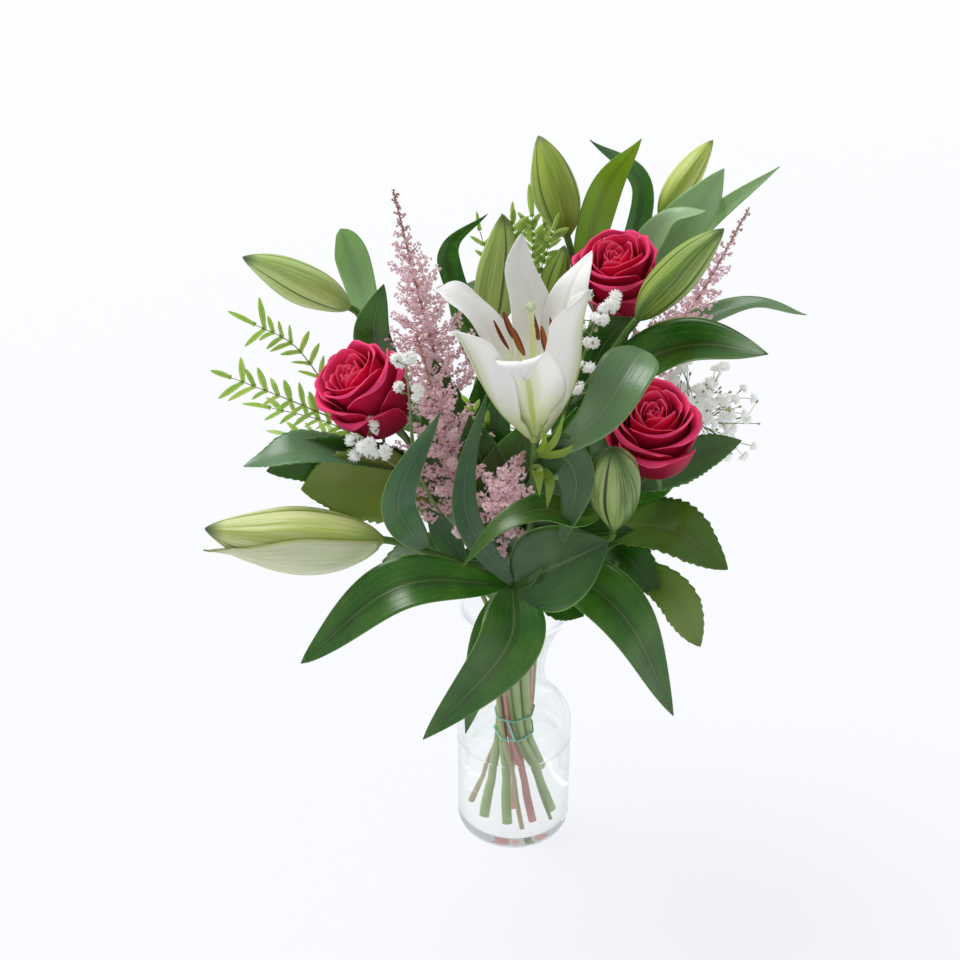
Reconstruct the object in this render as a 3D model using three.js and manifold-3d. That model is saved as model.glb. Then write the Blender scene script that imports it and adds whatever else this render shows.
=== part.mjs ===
// A hand-tied mixed bouquet standing in a flared glass bottle vase with water: one open white lily,
// lily buds, three roses, astilbe plumes, gypsophila sprays, pistacia twigs and all their leaves.
// Millimetres, +Z up. The origin is the middle of the vase's flat foot, and -Y is the front.
import * as THREE from "three";
import { mergeVertices } from "three/addons/utils/BufferGeometryUtils.js";
import Module from "manifold-3d";

const wasm = await Module();
wasm.setup();

// The vase and its water.
const VASE_HEIGHT = 200;
const FOOT_RADIUS = 34;
const BODY_RADIUS = 45;
const NECK_RADIUS = 23;
const MOUTH_RADIUS = 43;
const HEEL_HEIGHT = 12;
const SHOULDER_HEIGHT = 96;
const NECK_HEIGHT = 144;
const WALL = 2.6;
const GLASS_FLOOR = 10;
const WATER_LEVEL = 81;
const VASE_SIDES = 18;

// The bundle: the stems cross it in a spiral, so they spread above and below the tie.
const FEET = { height: 18, spread: 2.3, twist: 50 };
const WAIST = { height: 92, spread: 1, twist: 0 };
const MOUTH = { height: VASE_HEIGHT, spread: 1.3, twist: -40 };
const CORE_RING = 4.2;
const STEM_RING = 11;
const THIN_RING = 14.8;
const TIE_CORD = 0.9;
const TIE_TURNS = [
  { height: 88, radius: 18.8, strandTurn: 270 },
  { height: 106, radius: 18.3, strandTurn: 250 },
];

// Gaps, thicknesses and the angle that spreads repeats evenly.
const GAP = 0.3;
const LEAF_THICKNESS = 0.8;
const PETAL_THICKNESS = 0.9;
const GOLDEN_ANGLE = Math.PI * (3 - Math.sqrt(5));
const MERGE = 1e-3;
const SMALLEST_EDGE = 0.45;
const CRUMB = 0.5;

const UP = new THREE.Vector3(0, 0, 1);
const point = (p) => (p.isVector3 ? p.clone() : new THREE.Vector3(...p));
const degrees = THREE.MathUtils.degToRad;
const lerp = THREE.MathUtils.lerp;

// Solids

// A closed geometry as a manifold solid, turned so that its faces point out.
function solidOf(geometry) {
  const bare = new THREE.BufferGeometry();
  bare.setAttribute("position", geometry.getAttribute("position"));
  if (geometry.index) bare.setIndex(geometry.index);
  const merged = mergeVertices(bare, MERGE);
  const corners = [];
  for (let i = 0; i < merged.index.count; i += 3) {
    const [a, b, c] = [0, 1, 2].map((k) => merged.index.getX(i + k));
    if (a !== b && b !== c && a !== c) corners.push(a, b, c);
  }
  const make = (triangles) =>
    new wasm.Manifold(
      new wasm.Mesh({
        numProp: 3,
        vertProperties: merged.getAttribute("position").array,
        triVerts: new Uint32Array(triangles),
      }),
    );
  const solid = make(corners);
  return solid.volume() < 0 ? make(corners.reverse()) : solid;
}

function geometryOf(solid) {
  const mesh = solid.getMesh();
  const geometry = new THREE.BufferGeometry();
  geometry.setAttribute("position", new THREE.BufferAttribute(mesh.vertProperties, 3));
  geometry.setIndex(new THREE.BufferAttribute(mesh.triVerts, 1));
  return geometry;
}

// Joins closed geometries into the one body that they form. Only a crumb may be left over.
function fuse(geometries) {
  const joined = wasm.Manifold.union(geometries.map(solidOf)).simplify(SMALLEST_EDGE);
  const [body, ...rest] = joined.decompose().sort((a, b) => b.volume() - a.volume());
  if (rest.some((loose) => loose.volume() > CRUMB)) throw new Error("a piece hangs loose");
  return geometryOf(body);
}

function cut(geometry, tools) {
  return geometryOf(solidOf(geometry).subtract(wasm.Manifold.union(tools.map(solidOf))));
}

function indexed(corners, triangles) {
  const geometry = new THREE.BufferGeometry().setFromPoints(corners);
  geometry.setIndex(triangles);
  return geometry;
}

// A smooth line through the points given.
function through(points) {
  return new THREE.CatmullRomCurve3(points.map(point), false, "catmullrom", 0.5);
}

// A round limb along a line of points, with one radius for each point.
function limb(points, radii, sides) {
  const line = points.map(point);
  const last = line.length - 1;
  const ways = line.map((p, i) =>
    line[Math.min(i + 1, last)].clone().sub(line[Math.max(i - 1, 0)]).normalize(),
  );
  const start = Math.abs(ways[0].z) > 0.9 ? new THREE.Vector3(1, 0, 0) : UP;
  let across = start.clone().cross(ways[0]).normalize();
  const corners = [];
  line.forEach((p, i) => {
    across = across.clone().addScaledVector(ways[i], -across.dot(ways[i])).normalize();
    const other = ways[i].clone().cross(across);
    for (let k = 0; k < sides; k++) {
      const angle = (2 * Math.PI * k) / sides;
      corners.push(
        p
          .clone()
          .addScaledVector(across, radii[i] * Math.cos(angle))
          .addScaledVector(other, radii[i] * Math.sin(angle)),
      );
    }
  });
  return indexed(corners, ringTriangles(line.length, sides));
}

// Triangles of a closed body made of rings with the same number of corners, one after another.
function ringTriangles(rings, sides) {
  const triangles = [];
  for (let i = 0; i < rings - 1; i++)
    for (let k = 0; k < sides; k++) {
      const a = i * sides + k;
      const b = i * sides + ((k + 1) % sides);
      triangles.push(a, b, b + sides, a, b + sides, a + sides);
    }
  const top = (rings - 1) * sides;
  for (let k = 1; k < sides - 1; k++) {
    triangles.push(0, k + 1, k);
    triangles.push(top, top + k, top + k + 1);
  }
  return triangles;
}

// A thin closed shell over a surface(u, v), u from -1 to 1 across and v from 0 to 1 along.
// Both faces are split into triangles alike.
function shell(surface, columns, rows, thickness) {
  const step = 1e-3;
  const corners = [];
  for (const side of [0.5, -0.5])
    for (let j = 0; j <= rows; j++)
      for (let i = 0; i <= columns; i++) {
        const u = (2 * i) / columns - 1;
        const v = j / rows;
        const alongU = surface(Math.min(u + step, 1), v).sub(surface(Math.max(u - step, -1), v));
        const alongV = surface(u, Math.min(v + step, 1)).sub(surface(u, Math.max(v - step, 0)));
        const normal = alongU.cross(alongV).normalize();
        corners.push(surface(u, v).addScaledVector(normal, side * thickness));
      }
  const wide = columns + 1;
  const under = wide * (rows + 1);
  const triangles = [];
  for (let j = 0; j < rows; j++)
    for (let i = 0; i < columns; i++) {
      const a = j * wide + i;
      const [b, c, d] = [a + 1, a + wide + 1, a + wide];
      triangles.push(a, b, c, a, c, d);
      triangles.push(a + under, c + under, b + under, a + under, d + under, c + under);
    }
  const edge = [];
  for (let i = 0; i < columns; i++) edge.push(i);
  for (let j = 0; j < rows; j++) edge.push(j * wide + columns);
  for (let i = columns; i > 0; i--) edge.push(rows * wide + i);
  for (let j = rows; j > 0; j--) edge.push(j * wide);
  edge.forEach((a, i) => {
    const b = edge[(i + 1) % edge.length];
    triangles.push(a, a + under, b + under, a, b + under, b);
  });
  return indexed(corners, triangles);
}

// Leaves

// Half widths along a blade, as a share of its full half width.
const OUTLINES = {
  lily: (v) => Math.sin(Math.PI * v ** 0.72) ** 0.85,
  late: (v) => Math.sin(Math.PI * v ** 1.15) ** 0.9,
  rose: (v) => Math.sin(Math.PI * v ** 0.8) ** 0.65,
};
const ROOT_HALF_WIDTH = 1.7;
const TIP_HALF_WIDTH = 0.5;

// The surface of a leaf: its midrib runs through the points, and its upper face looks along face.
// fold lifts the edges as a share of the half width, and teeth saw the edge.
function leafSurface({ points, width, face, turn, fold = 0.25, outline = "lily", teeth = 0, rows }) {
  const rib = through(points);
  const tip = rib.getPoint(1);
  const start = point(face ?? [tip.x * 0.004, tip.y * 0.004, 1]).normalize();
  const end = turn ? point(turn).normalize() : start;
  return (u, v) => {
    const way = rib.getTangent(v);
    const toFace = start.clone().lerp(end, v);
    const across = way.clone().cross(toFace).normalize();
    const lift = across.clone().cross(way).normalize();
    const saw = 1 + (Math.round(v * rows) % 2 ? teeth : -teeth);
    const least = lerp(ROOT_HALF_WIDTH, TIP_HALF_WIDTH, v);
    const half = Math.max((width / 2) * OUTLINES[outline](v) * saw, least);
    return rib
      .getPoint(v)
      .addScaledVector(across, u * half)
      .addScaledVector(lift, Math.abs(u) * half * fold);
  };
}

function leaf(details) {
  const rows = details.rows ?? 4;
  return shell(leafSurface({ ...details, rows }), 2, rows, LEAF_THICKNESS);
}

// A small leaflet: a thin lens that is widest before its middle. It starts a little behind its root,
// so that it is sunk into what it grows from.
const LEAFLET_SINK = 2.5;

function leaflet(root, tip, face, width) {
  const [a, b] = [point(root), point(tip)];
  a.addScaledVector(b.clone().sub(a).normalize(), -LEAFLET_SINK);
  const way = b.clone().sub(a);
  const across = way.clone().cross(point(face)).normalize();
  const lift = across.clone().cross(way).normalize();
  const middle = a.clone().addScaledVector(way, 0.45);
  const corner = (direction, distance) => middle.clone().addScaledVector(direction, distance);
  const girdle = [
    corner(across, width / 2),
    corner(lift, LEAF_THICKNESS / 2),
    corner(across, -width / 2),
    corner(lift, -LEAF_THICKNESS / 2),
  ];
  const triangles = [];
  for (let k = 0; k < 4; k++) {
    const next = (k + 1) % 4;
    triangles.push(k, next, 5, next, k, 4);
  }
  return indexed([...girdle, a, b], triangles);
}

// The bundle

// Where a stem of the bundle crosses a level. turn is its compass angle at the mouth, in degrees.
function bundlePoint(ring, turn, level) {
  const angle = degrees(turn + level.twist - MOUTH.twist);
  const radius = ring * level.spread;
  return new THREE.Vector3(radius * Math.cos(angle), radius * Math.sin(angle), level.height);
}

const STEM_STEPS = 5;

// The part of a stem above the mouth, through the points of its way.
function upperLine(stem) {
  return through([bundlePoint(stem.ring, stem.turn, MOUTH), ...stem.way]);
}

function stemLimb(stem) {
  const line = upperLine(stem);
  const points = [FEET, WAIST].map((level) => bundlePoint(stem.ring, stem.turn, level));
  const radii = [stem.radius, stem.radius];
  for (let i = 0; i <= STEM_STEPS; i++) {
    points.push(line.getPoint(i / STEM_STEPS));
    radii.push(lerp(stem.radius, stem.end, i / STEM_STEPS));
  }
  if (stem.cap) {
    points.push(point(stem.cap));
    radii.push(stem.end);
  }
  return limb(points, radii, stem.sides);
}

// The hole that a stem's foot stands in, a little wider than the stem.
function footHole(stem) {
  const [foot, waist] = [FEET, WAIST].map((level) => bundlePoint(stem.ring, stem.turn, level));
  const clearance = 1.5 * GAP;
  foot.addScaledVector(waist.clone().sub(foot).normalize(), -clearance);
  const wide = stem.radius + clearance;
  return limb([foot, waist], [wide, wide], stem.sides);
}

// A side shoot from a line at the share given, through more points.
function shoot({ from, at, way, radius, end, sides, steps }) {
  const line = through([from.getPoint(at), ...way]);
  const points = [];
  for (let i = 0; i <= steps; i++) points.push(line.getPoint(i / steps));
  const radii = points.map((p, i) => lerp(radius, end, i / steps));
  return { line, geometry: limb(points, radii, sides) };
}

// The shoot that carries a bud: it ends square under the bud's foot.
const STALK = { radius: 2.5, neck: 6, sides: 5 };

function stalk({ from, at, way, holds, steps = 3 }) {
  const { base, tip } = BUDS[holds];
  const end = point(base);
  const neck = end.clone().lerp(point(tip), -STALK.neck / point(tip).distanceTo(end));
  const line = through([from.getPoint(at), ...way, neck]);
  const points = [];
  for (let i = 0; i <= steps; i++) points.push(line.getPoint(i / steps));
  points.push(end);
  return { line, geometry: limb(points, points.map(() => STALK.radius), STALK.sides) };
}

// Flowers

// A frame at base whose +Z looks along axis, turned about it by spin degrees.
function pose(base, axis, spin = 0) {
  const tilt = new THREE.Quaternion().setFromUnitVectors(UP, point(axis).normalize());
  const spun = new THREE.Quaternion().setFromAxisAngle(UP, degrees(spin));
  return new THREE.Matrix4().compose(point(base), tilt.multiply(spun), new THREE.Vector3(1, 1, 1));
}

// A closed lily bud: six tepals pressed together, which show as three broad ridges.
const BUD_STATIONS = [0, 0.08, 0.3, 0.6, 0.88, 1];
const BUD_SIDES = 9;
const BUD_RIDGE = 0.09;

function budRadius(share) {
  return Math.max(Math.sin(Math.PI * share ** 0.85) ** 0.72, 0.12);
}

function bud({ base, tip, radius, spin = 0 }) {
  const axis = point(tip).sub(point(base));
  const corners = [];
  for (const share of BUD_STATIONS)
    for (let k = 0; k < BUD_SIDES; k++) {
      const angle = (2 * Math.PI * k) / BUD_SIDES;
      const ridge = 1 + BUD_RIDGE * Math.cos(3 * angle) * Math.sin(Math.PI * share);
      const r = radius * budRadius(share) * ridge;
      corners.push(
        new THREE.Vector3(r * Math.cos(angle), r * Math.sin(angle), lerp(GAP, axis.length(), share)),
      );
    }
  const geometry = indexed(corners, ringTriangles(BUD_STATIONS.length, BUD_SIDES));
  return geometry.applyMatrix4(pose(base, axis, spin));
}

// The open lily. Each tepal follows a line, as [distance from the axis, aside, height], and wraps
// round the axis. The three outer tepals lie outside the three inner ones. A low blunt gives a long
// thin tip, open flattens the tip, and tilt lifts the right margin.
const LILY = { base: [7, -112, 388], axis: [0, 0, 1] };
const CUP = { foot: 3, belly: 7.5, bellyHeight: 4, radius: 9, height: 11 };
const TEPAL_STEP = 2;
const TEPAL_WRAP = 62;
const TEPAL_ROUND = 90;
const TEPALS = [
  {
    turn: 264,
    width: 39,
    outer: true,
    blunt: 0.72,
    open: 0.5,
    tilt: 7,
    line: [[3, 0, 4], [10, 0, 18], [21, -1, 34], [31, -2, 51], [39, -5, 67], [46, -6, 70], [50, -3, 62]],
  },
  {
    turn: 206,
    width: 58,
    outer: false,
    blunt: 1.7,
    open: 0.1,
    tilt: 6,
    line: [[5, 0, 4], [16, 0, 15], [26, 0, 26], [36, 0, 43], [43, 0, 59], [48, 0, 70], [55, 0, 81]],
  },
  {
    turn: 154,
    width: 34,
    outer: true,
    blunt: 1.1,
    open: 0.6,
    tilt: 0,
    line: [[3, 0, 4], [8, 0, 18], [16, 0, 40], [25, 0, 58], [35, 0, 73], [46, 0, 84], [57, 0, 90], [67, 0, 88]],
  },
  {
    turn: 98,
    width: 29,
    outer: false,
    blunt: 0.95,
    open: 0.6,
    tilt: 0,
    line: [[3, 0, 4], [9, 0, 18], [18, -2, 38], [26, -3, 60], [33, -1, 82], [38, 5, 102], [44, 3, 120]],
  },
  {
    turn: 52,
    width: 28,
    outer: true,
    blunt: 1.2,
    open: 0.7,
    tilt: 0,
    line: [[3, 0, 4], [9, 0, 18], [17, 0, 40], [24, 0, 68], [35, 0, 92], [54, 0, 108]],
  },
  {
    turn: 340,
    width: 66,
    outer: false,
    blunt: 2.2,
    open: 0,
    tilt: 0,
    line: [[5, 0, 4], [13, 0, 16], [23, 0, 35], [28, 0, 56], [29, 0, 80], [33, 0, 101]],
  },
];

function tepal({ turn, width, outer, blunt, open, tilt, line }) {
  const step = outer ? TEPAL_STEP : -TEPAL_STEP;
  const rib = through(line.map(([r, aside, z]) => [r + step, aside, z]));
  return shell(
    (u, v) => {
      const middle = rib.getPoint(v);
      const form = Math.max(Math.sin(Math.PI * v ** blunt), 0) ** 0.66;
      const foot = 0.75 * middle.x * Math.min(Math.max(1.5 - 3 * v, 0), 1);
      const half = Math.max((width / 2) * form, foot, 0.8);
      const round = lerp(middle.x, TEPAL_ROUND, open * v ** 2);
      const angle = u * Math.min(half / round, degrees(TEPAL_WRAP));
      const out = middle.x - round * (1 - Math.cos(angle));
      const side = middle.y + round * Math.sin(angle);
      const rise = middle.z + tilt * u * form * v ** 2;
      return new THREE.Vector3(out, side, rise).applyAxisAngle(UP, degrees(turn));
    },
    4,
    5,
    PETAL_THICKNESS,
  );
}

function openLily() {
  const heights = [GAP, CUP.bellyHeight, CUP.height];
  const cup = limb(heights.map((z) => [0, 0, z]), [CUP.foot, CUP.belly, CUP.radius], 10);
  return fuse([cup, ...TEPALS.map(tepal)]).applyMatrix4(pose(LILY.base, LILY.axis));
}

// Six stamens with long anthers round one pistil, joined at their foot in the cup.
// They sway to the flower's left.
const STAMEN = {
  count: 6,
  turn: 285,
  lean: 16,
  sway: 5,
  filament: 70,
  anther: 18,
  foot: CUP.height + GAP,
};

function stamens() {
  const low = STAMEN.foot;
  const pieces = [limb([[0, 0, low], [0, 0, low + 5]], [3, 2.4], 6)];
  for (let i = 0; i < STAMEN.count; i++) {
    const angle = degrees(STAMEN.turn + (360 / STAMEN.count) * i);
    const sway = (z) => STAMEN.sway * (z / STAMEN.filament) ** 2;
    const out = (r, z) => [Math.cos(angle) * r - sway(z), Math.sin(angle) * r, z];
    const top = out(STAMEN.lean, STAMEN.filament);
    pieces.push(limb([out(0.5, low + 3), out(6, 40), top], [0.9, 0.8, 0.7], 3));
    const lower = out(STAMEN.lean - 2, STAMEN.filament - STAMEN.anther / 2);
    const upper = out(STAMEN.lean + 2, STAMEN.filament + STAMEN.anther / 2);
    pieces.push(limb([lower, top, upper], [1, 2, 0.9], 3));
  }
  const style = [[0, 0, low + 3], [-1, -1, 50], [1, -4, 86], [1, -4, 91]];
  pieces.push(limb(style, [1.5, 1.3, 1.8, 3.6], 5));
  return fuse(pieces).applyMatrix4(pose(LILY.base, LILY.axis));
}

// A rose: petals in whorls round a rolled core. Each petal is tucked under its neighbour on one
// side, and the outer whorls roll their lips outwards. Their feet are hidden in a broad base.
const ROSE = { height: 56, core: 6.5, foot: 8, base: 17, baseHeight: 10 };
const WHORLS = [
  { petals: 3, rows: 2, radius: 11.5, height: 54, lip: 0, span: 82 },
  { petals: 4, rows: 2, radius: 19, height: 52, lip: 1, span: 64 },
  { petals: 5, rows: 3, radius: 27, height: 47, lip: 5, span: 54 },
];
const PETAL_TUCK = 2.2;

function petal(whorl, index) {
  const middle = (2 * Math.PI * (index + 0.37 * whorl.petals)) / whorl.petals;
  return shell(
    (u, v) => {
      const span = degrees(whorl.span) * Math.sin(Math.PI * (0.14 + 0.72 * v)) ** 0.5;
      const angle = middle + u * span;
      const belly = lerp(0.42, 1, Math.sin((Math.PI / 2) * Math.min(v * 1.5, 1))) * whorl.radius;
      const r = belly + whorl.lip * v ** 4 + PETAL_TUCK * u;
      const z = 5 + (whorl.height - 4) * v - 4 * u * u * v - 0.6 * whorl.lip * v ** 4;
      return new THREE.Vector3(r * Math.cos(angle), r * Math.sin(angle), z);
    },
    3,
    whorl.rows,
    PETAL_THICKNESS,
  );
}

function roseBloom({ base, axis, spin }) {
  const { height, core, foot, base: wide, baseHeight } = ROSE;
  const pieces = [
    limb([[0, 0, GAP], [0, 0, baseHeight]], [foot, wide], 8),
    limb([[0, 0, 4], [0, 0, height * 0.6], [0, 0, height]], [core, core, 2.5], 6),
  ];
  for (const whorl of WHORLS)
    for (let i = 0; i < whorl.petals; i++) pieces.push(petal(whorl, i));
  return fuse(pieces).applyMatrix4(pose(base, axis, spin));
}

// The green cup under a rose, with five narrow sepals that hang back.
const CALYX = { depth: 9, bellyDepth: 4, neck: 2.6, belly: 5.5, rim: 4.6 };
const SEPAL = { count: 5, width: 5, root: [3, -2.5], tip: [17, -15] };

function calyx({ base, axis, spin }) {
  const heights = [-CALYX.depth, -CALYX.bellyDepth, 0];
  const pieces = [limb(heights.map((z) => [0, 0, z]), [CALYX.neck, CALYX.belly, CALYX.rim], 6)];
  for (let i = 0; i < SEPAL.count; i++) {
    const angle = (2 * Math.PI * i) / SEPAL.count;
    const out = ([r, z]) => [r * Math.cos(angle), r * Math.sin(angle), z];
    pieces.push(leaflet(out(SEPAL.root), out(SEPAL.tip), out([1, 1]), SEPAL.width));
  }
  return fuse(pieces).applyMatrix4(pose(base, axis, spin));
}

// An astilbe plume: a tapering axis with side branches in a spiral, each a string of florets.
const FLORET = 5.4;
const SPINE_RADII = [1.5, 5.5, 4.5, 3, 1];

function floretString(root, tip, floret) {
  const count = Math.max(Math.round(root.distanceTo(tip) / (2.7 * floret)), 1);
  const points = [root];
  const radii = [0.8];
  for (let k = 0; k < count; k++) {
    const size = floret * lerp(1, 0.7, k / count);
    points.push(root.clone().lerp(tip, (k + 0.55) / count));
    radii.push(size);
    points.push(root.clone().lerp(tip, (k + 1) / count));
    radii.push(0.4 * size);
  }
  return limb(points, radii, 3);
}

function plume({ way, reach, branches }) {
  const axis = through(way);
  const steps = SPINE_RADII.length - 1;
  const spine = SPINE_RADII.map((radius, i) => axis.getPoint(i / steps));
  const pieces = [limb(spine, SPINE_RADII, 5)];
  for (let i = 0; i < branches; i++) {
    const share = (i + 0.5) / branches;
    const root = axis.getPoint(lerp(0.06, 0.96, share));
    const along = axis.getTangent(share);
    const side = new THREE.Vector3(1, 0, 0).cross(along).normalize();
    side.applyAxisAngle(along, i * GOLDEN_ANGLE);
    const length = lerp(reach, 0.14 * reach, share ** 0.8);
    const branch = side.multiplyScalar(0.88).addScaledVector(along, 0.47).multiplyScalar(length);
    pieces.push(floretString(root, root.clone().add(branch), FLORET * lerp(1, 0.6, share)));
  }
  return fuse(pieces);
}

// A gypsophila spray: from each fork, fine branches spread over a dome and end in a double bloom,
// or in a green bud on every third one.
const GYPSOPHILA = { bloom: 4.2, bud: 1.8, branch: 0.6, end: 0.8 };

function spray(stem, forks) {
  const line = upperLine(stem);
  const pieces = [stemLimb(stem)];
  for (const { at, way, heads, reach, out } of forks) {
    const branch = shoot({ from: line, at, way, radius: 1, end: 0.8, sides: 3, steps: 2 });
    pieces.push(branch.geometry);
    const root = branch.line.getPoint(1);
    const facing = pose([0, 0, 0], out);
    for (let i = 0; i < heads; i++) {
      const angle = i * GOLDEN_ANGLE;
      const height = 1 - (i + 0.5) / heads;
      const flat = Math.sqrt(1 - height * height);
      const length = reach * (i % 2 ? 1 : 0.72);
      const tip = new THREE.Vector3(flat * Math.cos(angle), flat * Math.sin(angle), height)
        .multiplyScalar(length)
        .applyMatrix4(facing)
        .add(root);
      const { bloom, bud: green, branch: fine, end: crown } = GYPSOPHILA;
      const [size, sides] = i % 3 === 2 ? [green, 3] : [bloom, 4];
      const neck = tip.clone().lerp(root, size / length);
      const end = tip.clone().lerp(root, -size / length);
      pieces.push(limb([root, neck, tip, end], [fine, fine, size, crown], sides));
    }
  }
  return fuse(pieces);
}

// A feather leaf of pistacia: one thin blade along its rib, cut to the rib between the leaflets.
const TWIG_FACE = [0.1, -0.7, 0.7];
const RIB_HALF_WIDTH = 0.8;
const BARE_SHARE = 0.28;

function feather({ points, pairs, size, face = TWIG_FACE }) {
  const rib = through(points);
  const toFace = point(face).normalize();
  const bars = [];
  const shares = [0];
  for (let i = 0; i <= pairs; i++) shares.push(lerp(BARE_SHARE, 0.97, i / pairs));
  for (const share of shares) {
    const along = rib.getTangent(share);
    const across = along.clone().cross(toFace).normalize();
    bars.push({ centre: rib.getPoint(share), along, across, lift: across.clone().cross(along) });
  }
  const corners = [];
  const add = (p, lift) => {
    for (const side of [0.5, -0.5]) corners.push(p.clone().addScaledVector(lift, side * LEAF_THICKNESS));
    return corners.length - 2;
  };
  const rails = bars.map(({ centre, across, lift }) =>
    [-1, 1].map((hand) => add(centre.clone().addScaledVector(across, hand * RIB_HALF_WIDTH), lift)),
  );
  const triangles = [];
  const face3 = (a, b, c) => triangles.push(a, b, c, a + 1, c + 1, b + 1);
  const wall = (a, b) => triangles.push(a, a + 1, b + 1, a, b + 1, b);
  const last = bars.length - 1;
  wall(rails[0][0], rails[0][1]);
  for (let i = 0; i < last; i++) {
    const [left, right] = rails[i];
    const [nextLeft, nextRight] = rails[i + 1];
    face3(left, right, nextRight);
    face3(left, nextRight, nextLeft);
    if (i === 0) {
      wall(right, nextRight);
      wall(nextLeft, left);
      continue;
    }
    const { centre, along, across, lift } = bars[i];
    const tips = [-1, 1].map((hand) =>
      add(
        centre
          .clone()
          .addScaledVector(across, hand * size * 0.8)
          .addScaledVector(along, size * 0.62),
        lift,
      ),
    );
    face3(left, nextLeft, tips[0]);
    face3(right, tips[1], nextRight);
    wall(right, tips[1]);
    wall(tips[1], nextRight);
    wall(nextLeft, tips[0]);
    wall(tips[0], left);
  }
  const { centre, along, lift } = bars[last];
  const end = add(centre.clone().addScaledVector(along, size), lift);
  face3(rails[last][0], rails[last][1], end);
  wall(rails[last][1], end);
  wall(end, rails[last][0]);
  return indexed(corners, triangles);
}

// A pistacia twig with its feather leaves.
function twig(stem, feathers) {
  const line = upperLine(stem);
  const leaves = feathers.map(({ at, way, ...details }) =>
    feather({ ...details, points: [line.getPoint(at), ...way] }),
  );
  return fuse([stemLimb(stem), ...leaves]);
}

// A stem with its side shoots and leaves, in one body. A leaf grows from the stem, or from the
// shoot that it names, at the share given.
function leafyStem(stem, { shoots = {}, leaves = [], extras = [] }) {
  const lines = { stem: upperLine(stem) };
  const pieces = [stemLimb(stem), ...extras];
  for (const [name, details] of Object.entries(shoots)) {
    const made = stalk({ ...details, from: lines.stem });
    lines[name] = made.line;
    pieces.push(made.geometry);
  }
  for (const { on = "stem", at, way, ...details } of leaves)
    pieces.push(leaf({ ...details, points: [lines[on].getPoint(at), ...way] }));
  return fuse(pieces);
}

// The arrangement: stems by name, with turn as the compass angle at the mouth and way as the
// points that the stem passes above it.
const lilyStem = (turn, way, cap) => ({ ring: STEM_RING, turn, way, cap, radius: 3.5, end: 2.6, sides: 6 });
const roseStem = (turn, way) => ({ ring: STEM_RING, turn, way, radius: 2.8, end: 2.4, sides: 5 });
const thinStem = (ring, turn, way, radius) => ({ ring, turn, way, radius, end: 0.8 * radius, sides: 4 });

const ROSES = {
  left: { base: [-88, -34, 370], axis: [-0.5, -0.34, 0.8], spin: 0 },
  back: { base: [75, 34, 426], axis: [-0.2, -0.42, 0.88], spin: 70 },
  right: { base: [88, -60, 352], axis: [-0.08, -0.46, 0.88], spin: 140 },
};

// The end of a rose's stem, inside its green cup.
function under({ base, axis }) {
  return point(base).addScaledVector(point(axis).normalize(), 2 - CALYX.depth);
}

const STEMS = {
  lily_front: lilyStem(250, [[-8, -42, 238], [-8, -78, 266], [-5, -108, 282]]),
  lily_centre: lilyStem(290, [[6, -34, 260], [8, -76, 325], [7, -112, 382]], LILY.base),
  lily_left: lilyStem(170, [[-38, 10, 270], [-74, 20, 345], [-102, 26, 402]]),
  lily_back: lilyStem(130, [[-15, 28, 270], [-22, 36, 340], [-20, 32, 392]]),
  lily_right: lilyStem(50, [[22, 30, 270], [36, 50, 335], [50, 56, 392]]),
  rose_left: roseStem(210, [[-36, -20, 285], [-66, -28, 335], under(ROSES.left)]),
  rose_back: roseStem(10, [[38, 6, 290], [62, 20, 360], under(ROSES.back)]),
  rose_right: roseStem(330, [[42, -26, 265], [72, -44, 310], under(ROSES.right)]),
  astilbe_left: thinStem(CORE_RING, 180, [[-18, -6, 270], [-36, -10, 330], [-48, -12, 368]], 1.6),
  astilbe_front: thinStem(CORE_RING, 240, [[-12, -22, 240], [-24, -38, 275], [-36, -44, 300]], 1.6),
  astilbe_right: thinStem(CORE_RING, 350, [[20, -6, 260], [52, -4, 330], [86, 4, 385]], 1.6),
  astilbe_centre: thinStem(CORE_RING, 300, [[0, -14, 238], [-5, -38, 268], [-11.7, -63, 299]], 1.4),
  gypsophila_right: thinStem(THIN_RING, 350, [[46, -8, 270], [78, -14, 310], [102, -12, 335]], 1.4),
  gypsophila_centre: thinStem(THIN_RING, 30, [[24, 2, 280], [30, -14, 360], [40, -30, 405]], 1.4),
  gypsophila_left: thinStem(THIN_RING, 230, [[-26, -44, 262], [-55, -76, 322], [-71, -82, 362]], 1.4),
  pistacia_left: thinStem(THIN_RING, 190, [[-50, -8, 265], [-88, -16, 325], [-118, -20, 362]], 1.8),
  pistacia_back: thinStem(STEM_RING, 90, [[4, 26, 270], [6, 40, 360], [4, 48, 425]], 2),
};

// Buds: base, tip and greatest radius.
const BUDS = {
  bud_far_left: { base: [-118, 30, 427], tip: [-184, -8, 475], radius: 14, spin: 20 },
  bud_front_left: { base: [-91, -90, 307], tip: [-203, -112, 327], radius: 22, spin: 40, pale: true },
  bud_top: { base: [35, 60, 469], tip: [14, 82, 536], radius: 16, spin: 10 },
  bud_behind_lily: { base: [-22, 4, 418], tip: [-12, -2, 502], radius: 15, spin: 50 },
  bud_right: { base: [77, -24, 437], tip: [126, -44, 504], radius: 13.5, spin: 0 },
  bud_front: { base: [60, -94, 314], tip: [54, -128, 391], radius: 17, spin: 30 },
  bud_back_right: { base: [106, 108, 470], tip: [145, 130, 523], radius: 11, spin: 15 },
  bud_small: { base: [20, 38, 424], tip: [32, 44, 468], radius: 10, spin: 25 },
};

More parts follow.
